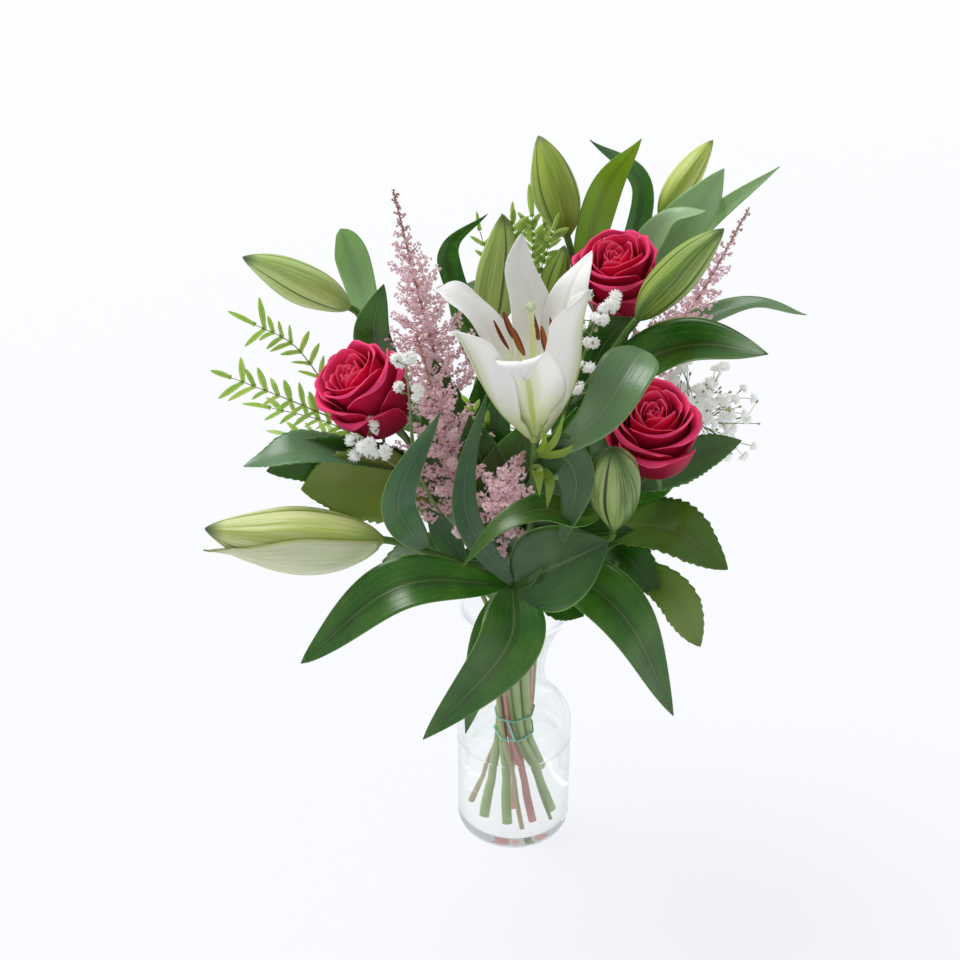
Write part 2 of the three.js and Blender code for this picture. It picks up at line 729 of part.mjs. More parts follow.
const PLUMES = {
  left: { way: [[-48.3, -12.2, 369], [-66, 0, 436], [-85, 20, 513]], reach: 44, branches: 19 },
  front: { way: [[-36.3, -44.3, 301], [-50, -58, 370], [-68, -58, 440]], reach: 46, branches: 21 },
  right: { way: [[86.3, 4.2, 386], [126, 34, 432], [159, 45, 494]], reach: 30, branches: 13 },
  centre: { way: [[-11.8, -63.5, 299.6], [-12, -100, 345], [0, -127, 388]], reach: 15, branches: 9 },
};

const LEAFY = {
  lily_front: {
    shoots: { stalk: { at: 0.72, way: [[-46, -88, 290]], holds: "bud_front_left" } },
    leaves: [
      {
        at: 1,
        way: [[-33, -106, 325], [-36, -92, 358], [-22, -78, 408]],
        width: 19,
        face: [0, -1, 0.3],
        rows: 5,
      },
      { at: 1, way: [[26, -116, 304], [56, -108, 315]], width: 56, face: [0, -0.85, 0.5] },
      { at: 1, way: [[-11, -140, 253], [-65, -142, 184]], width: 42, face: [0.1, -0.85, 0.5] },
      { at: 0.97, way: [[-22, -124, 245], [-37, -114, 168]], width: 26, face: [-0.3, -0.9, 0.3] },
      { at: 1, way: [[5, -118, 292], [13, -121, 303]], width: 6, face: [0, -0.8, 0.6], rows: 3 },
      { at: 0.85, way: [[-79, -122, 290], [-146, -122, 231]], width: 36, face: [-0.1, -0.6, 0.8] },
      { on: "stalk", at: 0.72, way: [[-79, -110, 347], [-52, -96, 401]], width: 23, face: [0.2, -1, 0.3] },
      { on: "stalk", at: 0.4, way: [[-52, -76, 306], [-62, -76, 324]], width: 18, face: [0, -1, 0.2] },
    ],
  },
  lily_centre: {
    shoots: { stalk: { at: 0.5, way: [[34, -74, 298]], holds: "bud_front" } },
    leaves: [
      {
        at: 0.92,
        way: [[44, -124, 409], [66, -104, 440], [78, -88, 432]],
        width: 36,
        face: [-0.35, -0.8, 0.5],
        outline: "late",
        rows: 5,
      },
      {
        at: 0.93,
        way: [[25, -116, 379], [33, -121, 361], [24, -124, 322]],
        width: 30,
        face: [-0.4, -1, 0.3],
        rows: 5,
      },
      {
        on: "stalk",
        at: 0.45,
        way: [[40, -95, 325], [31, -112, 336], [10, -122, 346], [-15, -130, 339], [-38, -134, 312]],
        width: 25,
        face: [-0.2, -0.5, 0.9],
        rows: 5,
      },
      { at: 0.42, way: [[66, -112, 264], [107, -106, 177]], width: 42, face: [0.4, -0.8, 0.5] },
    ],
  },
  lily_left: {
    shoots: { stalk: { at: 0.96, way: [], holds: "bud_far_left", steps: 1 } },
    leaves: [
      { at: 0.97, way: [[-118, 66, 447], [-126, 62, 476]], width: 32, face: [0.2, -0.8, 0.5] },
      { at: 0.8, way: [[-104, 2, 410], [-106, 18, 446]], width: 28, face: [-0.5, -0.8, 0.2] },
      { at: 0.62, way: [[-110, 72, 360], [-150, 96, 330]], width: 36 },
      { at: 0.4, way: [[-66, 66, 300], [-92, 118, 262]], width: 38 },
    ],
  },
  lily_back: {
    shoots: {
      stalk: { at: 0.9, way: [[-23, 14, 396]], holds: "bud_behind_lily", steps: 2 },
      small: { at: 0.98, way: [[2, 36, 402]], holds: "bud_small", steps: 2 },
    },
    leaves: [
      {
        at: 0.97,
        way: [[-48, 46, 446], [-48, 42, 470], [-22, 22, 496]],
        width: 26,
        face: [0.6, -0.7, 0.2],
        rows: 5,
      },
      { at: 0.85, way: [[-36, 92, 420], [-50, 138, 402]], width: 36 },
      { at: 0.6, way: [[-8, 96, 350], [0, 146, 320]], width: 40 },
      { at: 0.35, way: [[-30, 84, 286], [-46, 132, 232]], width: 38 },
    ],
  },
  lily_right: {
    shoots: {
      top: { at: 0.98, way: [[42, 56, 440]], holds: "bud_top", steps: 2 },
      side: { at: 0.72, way: [[42, 12, 366], [56, -14, 400]], holds: "bud_right", steps: 4 },
      far: { at: 0.9, way: [[80, 88, 430]], holds: "bud_back_right", steps: 2 },
    },
    leaves: [
      { on: "top", at: 0.4, way: [[61, 85, 494], [84, 62, 538]], width: 26, face: [0.2, -0.9, 0.2] },
      { on: "far", at: 0.4, way: [[92, 118, 490], [51, 92, 531]], width: 24, face: [0.5, -0.8, 0.2] },
      { on: "far", at: 0.5, way: [[126, 90, 472], [148, 98, 509]], width: 36, face: [0, -0.9, 0.4] },
      { at: 1, way: [[101, 62, 474], [129, 42, 493]], width: 24, face: [0, -0.5, 0.9] },
      { at: 0.95, way: [[146, 62, 486], [174, 32, 525]], width: 22, face: [-0.4, -0.8, 0.4] },
      { at: 0.86, way: [[156, 50, 420], [197, 6, 430]], width: 22, face: [0.1, -0.4, 0.9] },
      { on: "side", at: 0.5, way: [[108, -42, 425], [154, -78, 433]], width: 44, face: [0, -0.55, 0.8] },
      { at: 0.6, way: [[76, 96, 360], [112, 146, 340]], width: 40 },
      { at: 0.35, way: [[70, 62, 282], [116, 92, 240]], width: 38 },
    ],
  },
  rose_left: {
    leaves: [
      { at: 0.62, way: [[-140, -68, 362], [-182, -76, 354]], width: 38, face: [0.1, -0.2, 1] },
      { at: 0.45, way: [[-115, -46, 333], [-146, -52, 324]], width: 46, face: [0, -0.9, 0.5] },
      { at: 0.3, way: [[-76, -48, 268], [-112, -72, 240]], width: 36 },
    ],
  },
  rose_back: {
    leaves: [
      { at: 0.5, way: [[92, 46, 330], [132, 66, 330]], width: 38 },
      { at: 0.3, way: [[82, 14, 256], [122, 22, 238]], width: 38 },
    ],
  },
  rose_right: {
    leaves: [
      { at: 0.8, way: [[118, -52, 350], [146, -72, 374]], width: 34, face: [0.1, -0.8, 0.6] },
      { at: 0.5, way: [[98, -96, 318], [134, -112, 297]], width: 44, face: [0, -0.6, 0.8] },
      { at: 0.35, way: [[98, -84, 268], [125, -94, 226]], width: 30, face: [0.2, -0.9, 0.4] },
      { at: 0.2, way: [[28, -70, 250], [44, -84, 244]], width: 34, face: [0, -0.7, 0.7] },
    ],
  },
};
const ROSE_LEAF = { outline: "rose", teeth: 0.07, rows: 6 };

const SPRAYS = {
  gypsophila_right: [
    { at: 1, way: [[128, 0, 352]], heads: 11, reach: 44, out: [0.75, 0, 0.5] },
    { at: 0.8, way: [[112, -18, 366]], heads: 6, reach: 26, out: [0.3, 0, 1] },
  ],
  gypsophila_centre: [
    { at: 1, way: [[45, -34, 430]], heads: 6, reach: 24, out: [0, -0.3, 1] },
    { at: 0.8, way: [[48, -48, 396]], heads: 4, reach: 20, out: [0.1, -0.8, 0.4] },
  ],
  gypsophila_left: [
    { at: 1, way: [[-70, -86, 382]], heads: 5, reach: 18, out: [0.1, -0.9, 0.6] },
    { at: 0.8, way: [[-84, -84, 352]], heads: 5, reach: 18, out: [-0.5, -0.6, 0.3] },
  ],
};

const TWIGS = {
  pistacia_left: [
    { at: 1, way: [[-152, -2, 408], [-182, 0, 426]], pairs: 6, size: 22 },
    { at: 0.95, way: [[-158, -24, 380], [-198, -22, 396]], pairs: 6, size: 22 },
    { at: 0.8, way: [[-134, -8, 356], [-176, -4, 366]], pairs: 6, size: 22 },
    { at: 0.65, way: [[-122, 2, 336], [-166, 6, 340]], pairs: 6, size: 22 },
    { at: 0.5, way: [[-110, 24, 300], [-150, 38, 296]], pairs: 5, size: 22 },
  ],
  pistacia_back: [
    { at: 1, way: [[0, 46, 452], [-3, 42, 484]], pairs: 5, size: 18, face: [0, -1, 0.2] },
    { at: 0.9, way: [[-16, 58, 440], [-28, 62, 476]], pairs: 4, size: 18, face: [0, -1, 0.2] },
    { at: 0.6, way: [[26, 86, 385], [36, 124, 398]], pairs: 6, size: 22 },
    { at: 0.4, way: [[24, 90, 310], [30, 140, 296]], pairs: 6, size: 22 },
  ],
};

// Materials

const finish = (color, roughness, extra = {}) =>
  new THREE.MeshStandardMaterial({ color, roughness, metalness: 0, ...extra });
const MATERIALS = {
  glass: finish(0xeef4f2, 0.05, { transparent: true, opacity: 0.3 }),
  water: finish(0xdfeaea, 0.05, { transparent: true, opacity: 0.3 }),
  tie: finish(0x4fb09a, 0.6),
  lilyLeaf: finish(0x2f5a22, 0.45),
  lilyBud: finish(0x8fa84a, 0.5),
  paleBud: finish(0xd6d9a8, 0.5),
  lilyPetal: finish(0xf2f1ea, 0.5),
  stamen: finish(0x9a4a1e, 0.8),
  rosePetal: finish(0xc4103c, 0.6),
  roseLeaf: finish(0x2c5a20, 0.5),
  astilbe: finish(0xd39aa4, 0.9),
  thinStem: finish(0x6f7f3c, 0.6),
  gypsophila: finish(0xf1f2ee, 0.9),
  pistacia: finish(0x6f9a2e, 0.6),
};

// Assembly

function outline(inset, floor, top, steps) {
  const path = new THREE.Path();
  path.moveTo(0, floor);
  path.lineTo(FOOT_RADIUS - inset, floor);
  path.quadraticCurveTo(BODY_RADIUS - inset, floor, BODY_RADIUS - inset, floor + HEEL_HEIGHT);
  if (top < SHOULDER_HEIGHT) path.lineTo(BODY_RADIUS - inset, top);
  else {
    const bend = (NECK_HEIGHT - SHOULDER_HEIGHT) / 2;
    const [body, neck, mouth] = [BODY_RADIUS, NECK_RADIUS, MOUTH_RADIUS].map((r) => r - inset);
    path.lineTo(body, SHOULDER_HEIGHT);
    path.bezierCurveTo(body, SHOULDER_HEIGHT + bend, neck, NECK_HEIGHT - bend, neck, NECK_HEIGHT);
    path.bezierCurveTo(neck, NECK_HEIGHT + bend, mouth - 9, top - 12, mouth, top);
  }
  return path.getPoints(steps);
}

const turned = (points) => new THREE.LatheGeometry(points, VASE_SIDES).rotateX(Math.PI / 2);

function vaseGeometry() {
  const outside = outline(0, 0, VASE_HEIGHT, 3);
  const inside = outline(WALL, GLASS_FLOOR, VASE_HEIGHT, 3).reverse();
  return geometryOf(solidOf(turned([...outside, ...inside])));
}

function waterGeometry() {
  const body = outline(WALL + GAP, GLASS_FLOOR + GAP, WATER_LEVEL, 3);
  body.push(new THREE.Vector2(0, WATER_LEVEL));
  return cut(turned(body), Object.values(STEMS).map(footHole));
}

// The tie: a cord wound twice round the bundle, with one strand from turn to turn.
function tieGeometry() {
  const turns = TIE_TURNS.map(({ height, radius }) =>
    new THREE.TorusGeometry(radius, TIE_CORD, 4, 14).translate(0, 0, height),
  );
  const ends = TIE_TURNS.map(({ height, radius, strandTurn }) => {
    const angle = degrees(strandTurn);
    return [radius * Math.cos(angle), radius * Math.sin(angle), height];
  });
  return fuse([...turns, limb(ends, [TIE_CORD, TIE_CORD], 4)]);
}

const bouquet = new THREE.Group();

function add(name, geometry, material) {
  const mesh = new THREE.Mesh(geometry, material);
  mesh.name = name;
  bouquet.add(mesh);
}

add("vase", vaseGeometry(), MATERIALS.glass);
add("water", waterGeometry(), MATERIALS.water);
add("stem_tie", tieGeometry(), MATERIALS.tie);
for (const name of ["front", "centre", "left", "back", "right"].map((side) => "lily_" + side))
  add(name, leafyStem(STEMS[name], LEAFY[name]), MATERIALS.lilyLeaf);
for (const [name, details] of Object.entries(BUDS))
  add(name, bud(details), details.pale ? MATERIALS.paleBud : MATERIALS.lilyBud);
add("lily_bloom", openLily(), MATERIALS.lilyPetal);
add("lily_stamens", stamens(), MATERIALS.stamen);
for (const [side, details] of Object.entries(ROSES)) {
  const name = "rose_" + side;
  const leaves = LEAFY[name].leaves.map((blade) => ({ ...ROSE_LEAF, ...blade }));
  add(name, leafyStem(STEMS[name], { leaves, extras: [calyx(details)] }), MATERIALS.roseLeaf);
  add(name + "_bloom", roseBloom(details), MATERIALS.rosePetal);
}
for (const [side, details] of Object.entries(PLUMES)) {
  const name = "astilbe_" + side;
  add(name, stemLimb(STEMS[name]), MATERIALS.thinStem);
  add(name + "_plume", plume(details), MATERIALS.astilbe);
}
for (const [name, forks] of Object.entries(SPRAYS))
  add(name, spray(STEMS[name], forks), MATERIALS.gypsophila);
for (const [name, feathers] of Object.entries(TWIGS))
  add(name, twig(STEMS[name], feathers), MATERIALS.pistacia);

export default bouquet;
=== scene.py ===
# A hand-tied mixed bouquet in a flared glass bottle vase: one open white lily, lily buds, three
# roses, astilbe, gypsophila, pistacia and their leaves. Lengths are in millimetres until a mesh is
# made. Meshes are in metres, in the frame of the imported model: +Z up, the front towards -Y.
import math

import bpy
import numpy as np
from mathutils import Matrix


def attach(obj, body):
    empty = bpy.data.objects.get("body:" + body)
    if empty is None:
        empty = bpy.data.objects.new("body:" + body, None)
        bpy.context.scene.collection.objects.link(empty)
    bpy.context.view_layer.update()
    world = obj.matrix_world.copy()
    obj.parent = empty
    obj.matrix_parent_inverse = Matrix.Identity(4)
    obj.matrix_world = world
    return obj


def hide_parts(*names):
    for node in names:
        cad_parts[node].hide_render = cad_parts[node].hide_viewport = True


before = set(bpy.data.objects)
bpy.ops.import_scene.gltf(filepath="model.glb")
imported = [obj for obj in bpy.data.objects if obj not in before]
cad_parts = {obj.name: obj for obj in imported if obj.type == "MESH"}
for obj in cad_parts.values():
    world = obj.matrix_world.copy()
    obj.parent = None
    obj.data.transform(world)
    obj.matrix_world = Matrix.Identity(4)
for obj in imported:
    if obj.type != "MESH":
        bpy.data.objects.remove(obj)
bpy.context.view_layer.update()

# The camera stands in front of the bouquet, a little above it, and looks down into the flowers.
# It frames the whole bouquet and the vase's foot.
CAMERA_PLACE, CAMERA_TILT = (-0.027, -0.865, 0.729), 64
LENS, SENSOR = 50, 36

camera = bpy.data.objects.new("camera", bpy.data.cameras.new("camera"))
camera.location = CAMERA_PLACE
camera.rotation_euler = (math.radians(CAMERA_TILT), 0, 0)
camera.data.lens = LENS
camera.data.sensor_width = SENSOR
bpy.context.collection.objects.link(camera)
bpy.context.scene.camera = camera

# The vase is one blown piece of clear glass: a straight body on a round heel, a shoulder, a narrow
# neck and a flared mouth. The wall is thin, the floor thick, and the lip is melted round.
VASE_HEIGHT = 200
FOOT_RADIUS, BODY_RADIUS, NECK_RADIUS, MOUTH_RADIUS = 34, 45, 23, 43
HEEL_HEIGHT, SHOULDER_HEIGHT, NECK_HEIGHT = 12, 96, 144
WALL, GLASS_FLOOR = 2.6, 10
FLARE_IN, FLARE_DOWN = 9, 12
HEEL_STEPS, CURVE_STEPS = 12, 20
# The hollow under the floor, as (radius, height), and the angle at which the lip starts to turn.
PUNT = ((0, 1.6), (16.2, 1.36), (27, 0.3))
LIP_START, LIP_STEPS = 0.3, 7
METRES = 0.001


def colour(code):
    """A linear colour from the usual six-digit code."""
    values = [int(code[i : i + 2], 16) / 255 for i in (0, 2, 4)]
    return (*(v / 12.92 if v <= 0.04045 else ((v + 0.055) / 1.055) ** 2.4 for v in values), 1)


def add_node(tree, kind, inputs, settings):
    """A node with its settings. Each input takes another node's socket or a plain value."""
    made = tree.nodes.new(kind)
    for name, value in settings.items():
        setattr(made, name, value)
    for socket, value in inputs.items():
        if isinstance(value, bpy.types.NodeSocket):
            tree.links.new(value, made.inputs[socket])
        else:
            made.inputs[socket].default_value = value
    return made


class Finish:
    """A material: one Principled shader and the pattern nodes that feed it."""

    def __init__(self, name, sockets):
        self.material = bpy.data.materials.new(name)
        self.material.use_nodes = True
        self.tree = self.material.node_tree
        self.shader = self.tree.nodes["Principled BSDF"]
        for socket, value in sockets.items():
            self.shader.inputs[socket].default_value = value

    def node(self, kind, inputs, **settings):
        return add_node(self.tree, "ShaderNode" + kind, inputs, settings)

    def math(self, operation, *values):
        return self.node("Math", dict(enumerate(values)), operation=operation).outputs[0]

    def times(self, a, b):
        return self.math("MULTIPLY", a, b)

    def most(self, a, b):
        return self.math("MAXIMUM", a, b)

    def step(self, value, low, high, start=0.0, end=1.0):
        """Runs smoothly from start to end as value goes from low to high."""
        inputs = {0: value, 1: low, 2: high, 3: start, 4: end}
        return self.node("MapRange", inputs, interpolation_type="SMOOTHSTEP").outputs[0]

    def across_and_along(self):
        """The piece's own UV map: u across a blade, v along it."""
        return self.node("SeparateXYZ", {0: self.node("UVMap", {}).outputs[0]}).outputs[:2]

    def from_middle(self, u):
        """0 on a blade's middle line and 1 at both of its edges."""
        return self.math("ABSOLUTE", self.math("MULTIPLY_ADD", u, 2.0, -1.0))

    def beat(self, value, count):
        """Goes up to 0.5 and back, count times in all as value goes from 0 to 1."""
        return self.math("PINGPONG", self.times(value, count), 0.5)

    def place(self):
        return self.node("TexCoord", {}).outputs["Object"]

    def height(self):
        return self.node("SeparateXYZ", {0: self.place()}).outputs[2]

    def mark(self, name):
        return self.node("Attribute", {}, attribute_name=name).outputs["Fac"]

    def noise(self, vector, scale, detail=2.0):
        inputs = {"Vector": vector, "Scale": scale, "Detail": detail}
        return self.node("TexNoise", inputs).outputs[0]

    def streaks(self, narrow, scale):
        """Noise drawn out along a blade, so many times as narrow as it is long."""
        u, v = self.across_and_along()
        drawn_out = self.node("CombineXYZ", {0: self.times(u, narrow), 1: v}).outputs[0]
        return self.noise(drawn_out, scale, 3.0)

    def mix(self, share, a, b):
        """From a, at share 0, to b. Each is a socket or a six-digit code."""
        a, b = (colour(tint) if isinstance(tint, str) else tint for tint in (a, b))
        return self.node("Mix", {0: share, 6: a, 7: b}, data_type="RGBA").outputs[2]

    def bump(self, height, distance):
        inputs = {"Height": height, "Distance": distance, "Strength": 1.0}
        return self.node("Bump", inputs).outputs[0]

    def feed(self, socket, value):
        self.tree.links.new(value, self.shader.inputs[socket])


class Skin:
    """Gathers faces in millimetres and makes one mesh object of them, in metres."""

    def __init__(self):
        self.corners, self.faces, self.uvs, self.kinds = [], [], [], []
        self.marks = {"side": [], "tone": []}
        self.count = 0

    def add(self, corners, faces, uvs, side=1.0, tone=0.0, kind=0):
        """uvs holds one pair for each corner of each face, in order."""
        self.faces += [[self.count + corner for corner in face] for face in faces]
        self.count += len(corners)
        self.corners.append(corners)
        self.uvs.append(np.asarray(uvs, float).reshape(-1, 2))
        self.kinds += [kind] * len(faces)
        self.marks["side"].append(np.broadcast_to(side, len(corners)))
        self.marks["tone"].append(np.broadcast_to(tone, len(corners)))

    def piece(self, name, finishes):
        mesh = bpy.data.meshes.new(name)
        mesh.from_pydata(np.vstack(self.corners) * METRES, [], self.faces)
        mesh.uv_layers.new(name="UVMap").data.foreach_set("uv", np.vstack(self.uvs).ravel())
        for mark, values in self.marks.items():
            layer = mesh.attributes.new(mark, "FLOAT", "POINT")
            layer.data.foreach_set("value", np.concatenate(values).astype(np.float32))
        for finish in finishes:
            mesh.materials.append(finish.material)
        mesh.polygons.foreach_set("material_index", self.kinds)
        mesh.shade_smooth()
        made = bpy.data.objects.new(name, mesh)
        bpy.context.collection.objects.link(made)
        return made


def bezier(controls, steps):
    """Points along a Bezier curve, without its first."""
    made = []
    for i in range(1, steps + 1):
        level = [np.array(p, float) for p in controls]
        while len(level) > 1:
            level = [a + (b - a) * i / steps for a, b in zip(level, level[1:])]
        made.append(tuple(level[0]))
    return made


def vase_line(inset, floor, top):
    """The profile of the vase, or of a skin set in from it, from its floor's edge to the top."""
    foot, body, neck, mouth = (
        radius - inset for radius in (FOOT_RADIUS, BODY_RADIUS, NECK_RADIUS, MOUTH_RADIUS)
    )
    line = [(foot, floor)]
    line += bezier([(foot, floor), (body, floor), (body, floor + HEEL_HEIGHT)], HEEL_STEPS)
    if top < SHOULDER_HEIGHT:
        return line + [(body, top)]
    bend = (NECK_HEIGHT - SHOULDER_HEIGHT) / 2
    low, high = (body, SHOULDER_HEIGHT), (neck, NECK_HEIGHT)
    to_neck = [low, (body, SHOULDER_HEIGHT + bend), (neck, NECK_HEIGHT - bend), high]
    to_mouth = [high, (neck, NECK_HEIGHT + bend), (mouth - FLARE_IN, top - FLARE_DOWN), (mouth, top)]
    line += [low, *bezier(to_neck, CURVE_STEPS), *bezier(to_mouth, CURVE_STEPS)]
    return line


def revolved(line, sides=120):
    """A closed skin round the Z axis, from a profile that starts and ends on it."""
    turns = np.arange(sides) * 2 * np.pi / sides
    ring = np.column_stack([np.cos(turns), np.sin(turns)])
    levels = [np.column_stack([ring * r, np.full(sides, z)]) for r, z in line[1:-1]]
    corners = np.vstack([[[0, 0, line[0][1]]], *levels, [[0, 0, line[-1][1]]]])
    here = np.arange(sides)
    after = (here + 1) % sides
    faces = [[0, 1 + b, 1 + a] for a, b in zip(here, after)]
    for i in range(len(levels) - 1):
        low = 1 + i * sides
        high = low + sides
        faces += np.column_stack([low + here, low + after, high + after, high + here]).tolist()
    last = len(corners) - 1
    faces += [[last, last - sides + a, last - sides + b] for a, b in zip(here, after)]
    return corners, faces, np.zeros((sum(map(len, faces)), 2))


def clear_finish(name, refraction, edge_on, tint, ripple, depth):
    """A clear body, tinted where it is seen edge on, with soft ripples in its skin. Daylight on its
    way to a matt surface goes straight through, so no black shadow falls, and light that has been
    thrown about in the glass leaves it."""
    made = Finish(name, {"Roughness": 0.0, "IOR": refraction, "Transmission Weight": 1.0})
    path = made.node("LightPath", {}).outputs
    passing = made.most(path["Is Shadow Ray"], path["Is Diffuse Ray"])
    weary = made.math("GREATER_THAN", path["Ray Depth"], 3.5)
    made.feed("Alpha", made.math("SUBTRACT", 1.0, made.most(passing, weary)))
    slant = made.node("LayerWeight", {"Blend": 0.5}).outputs["Facing"]
    made.feed("Base Color", made.mix(made.step(slant, edge_on, 1.0), "fdfffe", tint))
    made.feed("Normal", made.bump(made.noise(made.place(), ripple, 1.0), depth))
    return made


lip_radius = WALL / 2
lip_height = VASE_HEIGHT - lip_radius
lip = [
    (MOUTH_RADIUS - lip_radius + lip_radius * math.cos(a), lip_height + lip_radius * math.sin(a))
    for a in np.linspace(LIP_START, math.pi - LIP_START, LIP_STEPS)
]
inside_line = vase_line(WALL, GLASS_FLOOR, lip_height)
vase_profile = [*PUNT, *vase_line(0, 0, lip_height), *lip, *inside_line[::-1], (0, GLASS_FLOOR)]
skin = Skin()
skin.add(*revolved(vase_profile))
glass = clear_finish(
    "clear_glass", refraction=1.45, edge_on=0.45, tint="a9b8b8", ripple=22.0, depth=0.0004
)
vase = skin.piece("vase_glass", [glass])
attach(vase, "root")
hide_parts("vase")

# The water fills the body nearly to the shoulder. It wets the glass, so its skin lies just inside
# the wall, and it climbs the wall a little at its edge.
WATER_LEVEL = 81
MENISCUS = ((6, 0), (3.2, 0.1), (1.6, 0.5), (0.6, 1.1), (0.0, 1.9))
WETTING = 0.12

water_radius = BODY_RADIUS - WALL + WETTING
water_profile = [(0, GLASS_FLOOR - WETTING)]
water_profile += vase_line(WALL - WETTING, GLASS_FLOOR - WETTING, WATER_LEVEL + MENISCUS[-1][1])
water_profile += [(water_radius - inset, WATER_LEVEL + rise) for inset, rise in MENISCUS[-2::-1]]
water_profile += [(0, WATER_LEVEL)]
skin = Skin()
skin.add(*revolved(water_profile))
clear_water = clear_finish(
    "clear_water", refraction=1.333, edge_on=0.3, tint="c4d2d4", ripple=35.0, depth=0.0003
)
water = skin.piece("vase_water", [clear_water])
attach(water, "root")
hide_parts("water")

# The lily stems are thick and smooth. They cross in the tie and spread above it, with side shoots
# that carry the buds and long leaves that grow straight from them, glossy, with parallel veins.
FEET = (18, 2.3, 50)
WAIST = (92, 1, 0)
MOUTH = (VASE_HEIGHT, 1.3, -40)
CORE_RING, STEM_RING, THIN_RING = 4.2, 11, 14.8
LILY_RADIUS, LILY_END_RADIUS, STALK_RADIUS = 3.5, 2.6, 2.5
LILY_BASE = (7, -112, 388)
BUDS = {
    "far_left": {"base": (-118, 30, 427), "tip": (-184, -8, 475), "radius": 14, "spin": 20},
    "front_left": {
        "base": (-91, -90, 307), "tip": (-203, -112, 327), "radius": 22, "spin": 40, "bend": -0.05
    },
    "top": {"base": (35, 60, 469), "tip": (14, 82, 536), "radius": 16, "spin": 10},
    "behind_lily": {"base": (-22, 4, 418), "tip": (-12, -2, 502), "radius": 15, "spin": 78},
    "right": {"base": (77, -24, 437), "tip": (126, -44, 504), "radius": 13.5, "spin": 60},
    "front": {"base": (60, -94, 314), "tip": (54, -128, 391), "radius": 17, "spin": 30, "crown": 0.6},
    "back_right": {"base": (106, 108, 470), "tip": (145, 130, 523), "radius": 11, "spin": 15},
    "small": {"base": (20, 38, 424), "tip": (32, 44, 468), "radius": 10, "spin": 25},
}
LILY_STEMS = {
    "lily_front": (250, ((-8, -42, 238), (-8, -78, 266), (-5, -108, 282))),
    "lily_centre": (290, ((6, -34, 260), (8, -76, 325), (7, -112, 382))),
    "lily_left": (170, ((-38, 10, 270), (-74, 20, 345), (-102, 26, 402))),
    "lily_back": (130, ((-15, 28, 270), (-22, 36, 340), (-20, 32, 392))),
    "lily_right": (50, ((22, 30, 270), (36, 50, 335), (50, 56, 392))),
}
LILY_SHOOTS = {
    "lily_front": {"stalk": (0.72, ((-46, -88, 290),), "front_left")},
    "lily_centre": {"stalk": (0.5, ((34, -74, 298),), "front")},
    "lily_left": {"stalk": (0.96, (), "far_left")},
    "lily_back": {
        "stalk": (0.9, ((-23, 14, 396),), "behind_lily"),
        "small": (0.98, ((2, 36, 402),), "small"),
    },
    "lily_right": {
        "top": (0.98, ((42, 56, 440),), "top"),
        "side": (0.72, ((42, 12, 366), (56, -14, 400)), "right"),
        "far": (0.9, ((80, 88, 430),), "back_right"),
    },
}
